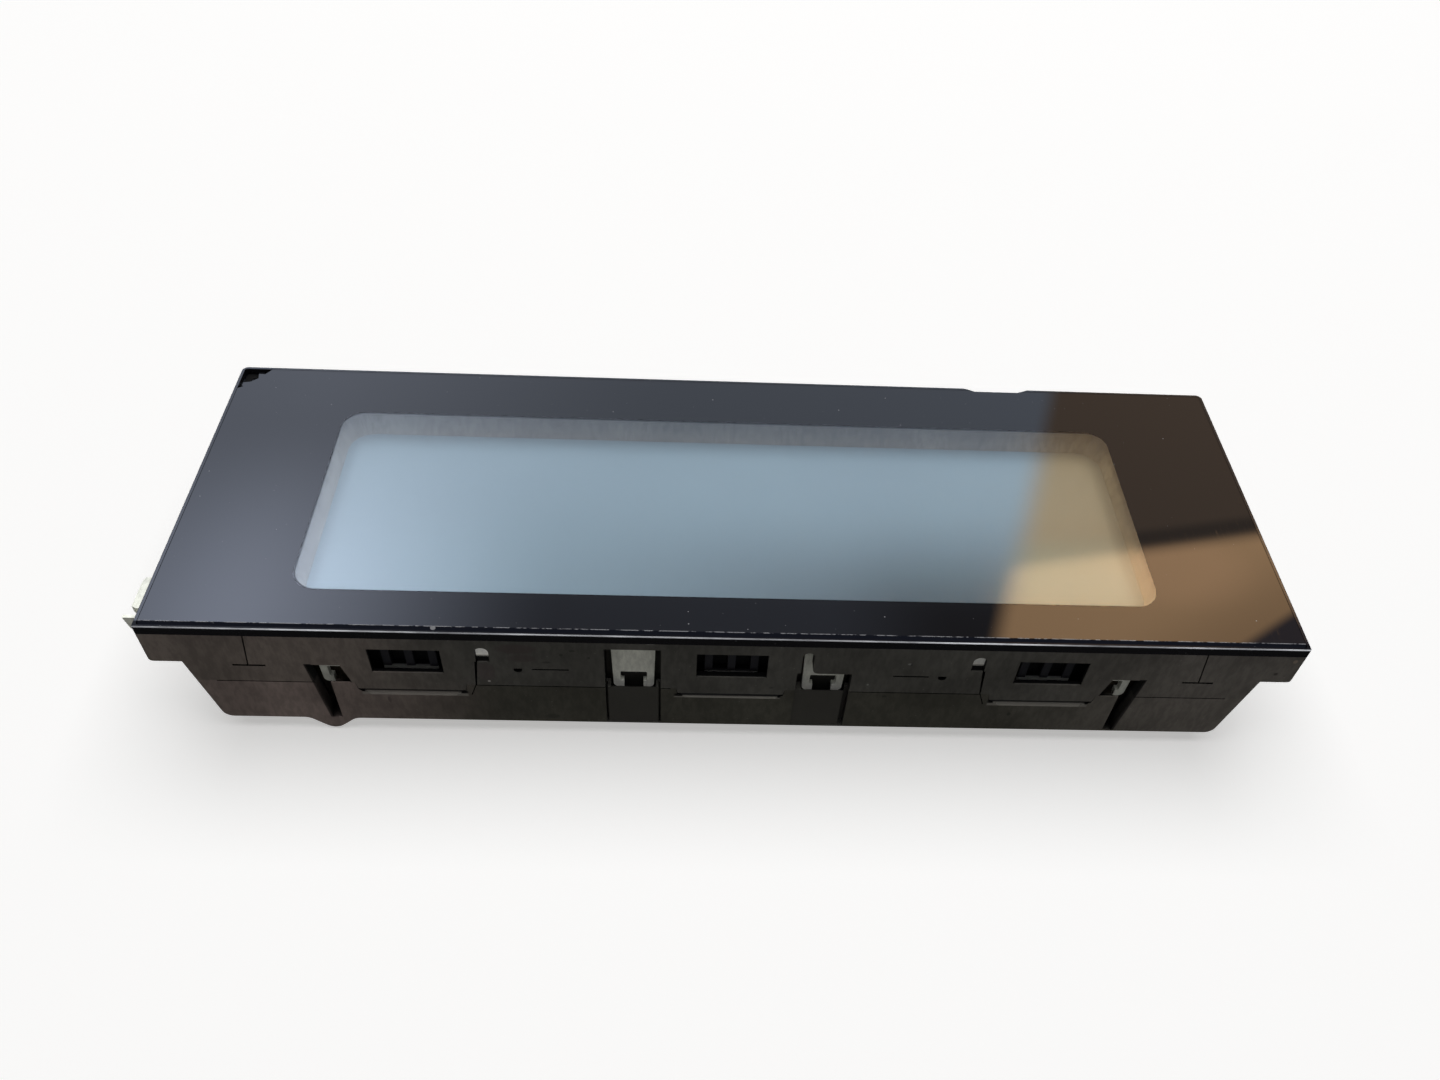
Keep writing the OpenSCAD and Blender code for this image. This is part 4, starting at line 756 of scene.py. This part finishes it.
def pale_wall(tree, x, y):
    """Brightest at the left near corner, dark towards the middle and right of the near side."""
    near_side = blend(tree, ramp(tree, x, -0.50, -0.20), WALL_BRIGHT, WALL_NEAR)
    near_side = blend(tree, ramp(tree, x, 0.0, 0.115), near_side, WALL_DARK)
    near_side = times(tree, near_side, ramp(tree, x, -0.56, -0.43, 0.62, 1.0))
    far_side = blend(tree, ramp(tree, x, -0.52, -0.10), WALL_FAR_LEFT, WALL_FAR)
    far_side = times(tree, far_side, ramp(tree, x, -0.55, -0.42, 0.92, 1.04))
    return blend(tree, ramp(tree, y, -0.34, -0.10), near_side, far_side)


def brown_room(tree, x, y, wobble):
    """Dim far away and bright near, with a dark beam between and a dark near corner."""
    wave = product(tree, minus(tree, wobble, 0.5), 0.012)
    beam = total(tree, y, -BEAM_Y, product(tree, x, -BEAM_LEAN), wave)
    corner_x, corner_y = CORNER_TOWARDS
    corner = total(tree, product(tree, x, corner_x), product(tree, y, corner_y), -CORNER_FROM)
    brightest = spot(tree, x, y, BRIGHTEST_AT, BRIGHTEST_HALF, 0.9)
    lit = blend(tree, brightest, BROWN_LIT, BROWN_BRIGHTEST)
    lit = times(tree, lit, ramp(tree, corner, -0.07, 0.0, 1.0, 0.72))
    brown = blend(tree, ramp(tree, beam, -0.012, 0.012), lit, BROWN_DIM)
    brown = blend(tree, band(tree, beam, 0.005, 0.021, 0.007), brown, BEAM_COLOR)
    return blend(tree, ramp(tree, corner, -0.006, 0.006), brown, CORNER_COLOR)


def make_ceiling_card():
    """What the lens mirrors: a pale wall on the left, a dim middle and a brown room on the right."""
    card = plane("ceiling_card", CARD_WIDTH, CEILING_DEPTH, (CARD_X, CEILING_Y, TOP + CARD_LIFT))
    only_mirrored(card)
    mat, tree, out = new_material("ceiling_card")
    where = add(tree, "ShaderNodeTexCoord").outputs["Object"]
    x, y = add(tree, "ShaderNodeSeparateXYZ", {"Vector": where}).outputs[:2]
    wobble = add(tree, "ShaderNodeTexNoise", {"Vector": where, "Scale": 2.0, "Detail": 2.0}).outputs["Fac"]
    slanted = total(tree, x, product(tree, y, SLANT))
    wall = pale_wall(tree, x, y)
    brown = brown_room(tree, x, y, wobble)
    color = blend(tree, ramp(tree, slanted, *BROWN_FROM), wall, brown)
    # What the near bevel mirrors: the dark room behind the camera
    color = blend(tree, ramp(tree, y, *ROOM_TO), ROOM_COLOR, color)
    put(tree, out.inputs["Surface"], shining(tree, color))
    card.data.materials.append(mat)


def make_room_card():
    """The dark room behind the camera, which the near rim mirrors under the ceiling card."""
    card = plane("room_card", CARD_WIDTH, ROOM_DEPTH, (CARD_X, ROOM_Y, TOP + CARD_LIFT))
    only_mirrored(card)
    mat, tree, out = new_material("room_card")
    put(tree, out.inputs["Surface"], shining(tree, ROOM_COLOR))
    card.data.materials.append(mat)


def make_lamp():
    """A soft square lamp overhead, which mirrors don't show. Its radiance is its level times pi."""
    data = bpy.data.lights.new("key_lamp", "AREA")
    data.shape = "RECTANGLE"
    data.size, data.size_y = KEY_SIZE
    data.energy = KEY_LEVEL * math.pi * math.pi * KEY_SIZE[0] * KEY_SIZE[1]
    lamp = bpy.data.objects.new("key_lamp", data)
    lamp.location = KEY_AT
    lamp.visible_glossy = False
    bpy.context.scene.collection.objects.link(lamp)


def make_camera():
    """The photo's camera."""
    data = bpy.data.cameras.new("camera")
    data.lens = CAMERA_LENS
    data.sensor_width = CAMERA_SENSOR
    data.shift_x, data.shift_y = CAMERA_SHIFT
    data.clip_start = CAMERA_NEAREST
    camera = bpy.data.objects.new("camera", data)
    camera.location = CAMERA_AT
    camera.rotation_euler = CAMERA_TURN
    bpy.context.scene.collection.objects.link(camera)
    bpy.context.scene.camera = camera


bpy.context.scene.view_settings.view_transform = "Standard"
make_world()
make_floor()
make_table_card()
make_ceiling_card()
make_room_card()
make_lamp()
make_camera()
dress_shell()
dress_inside()
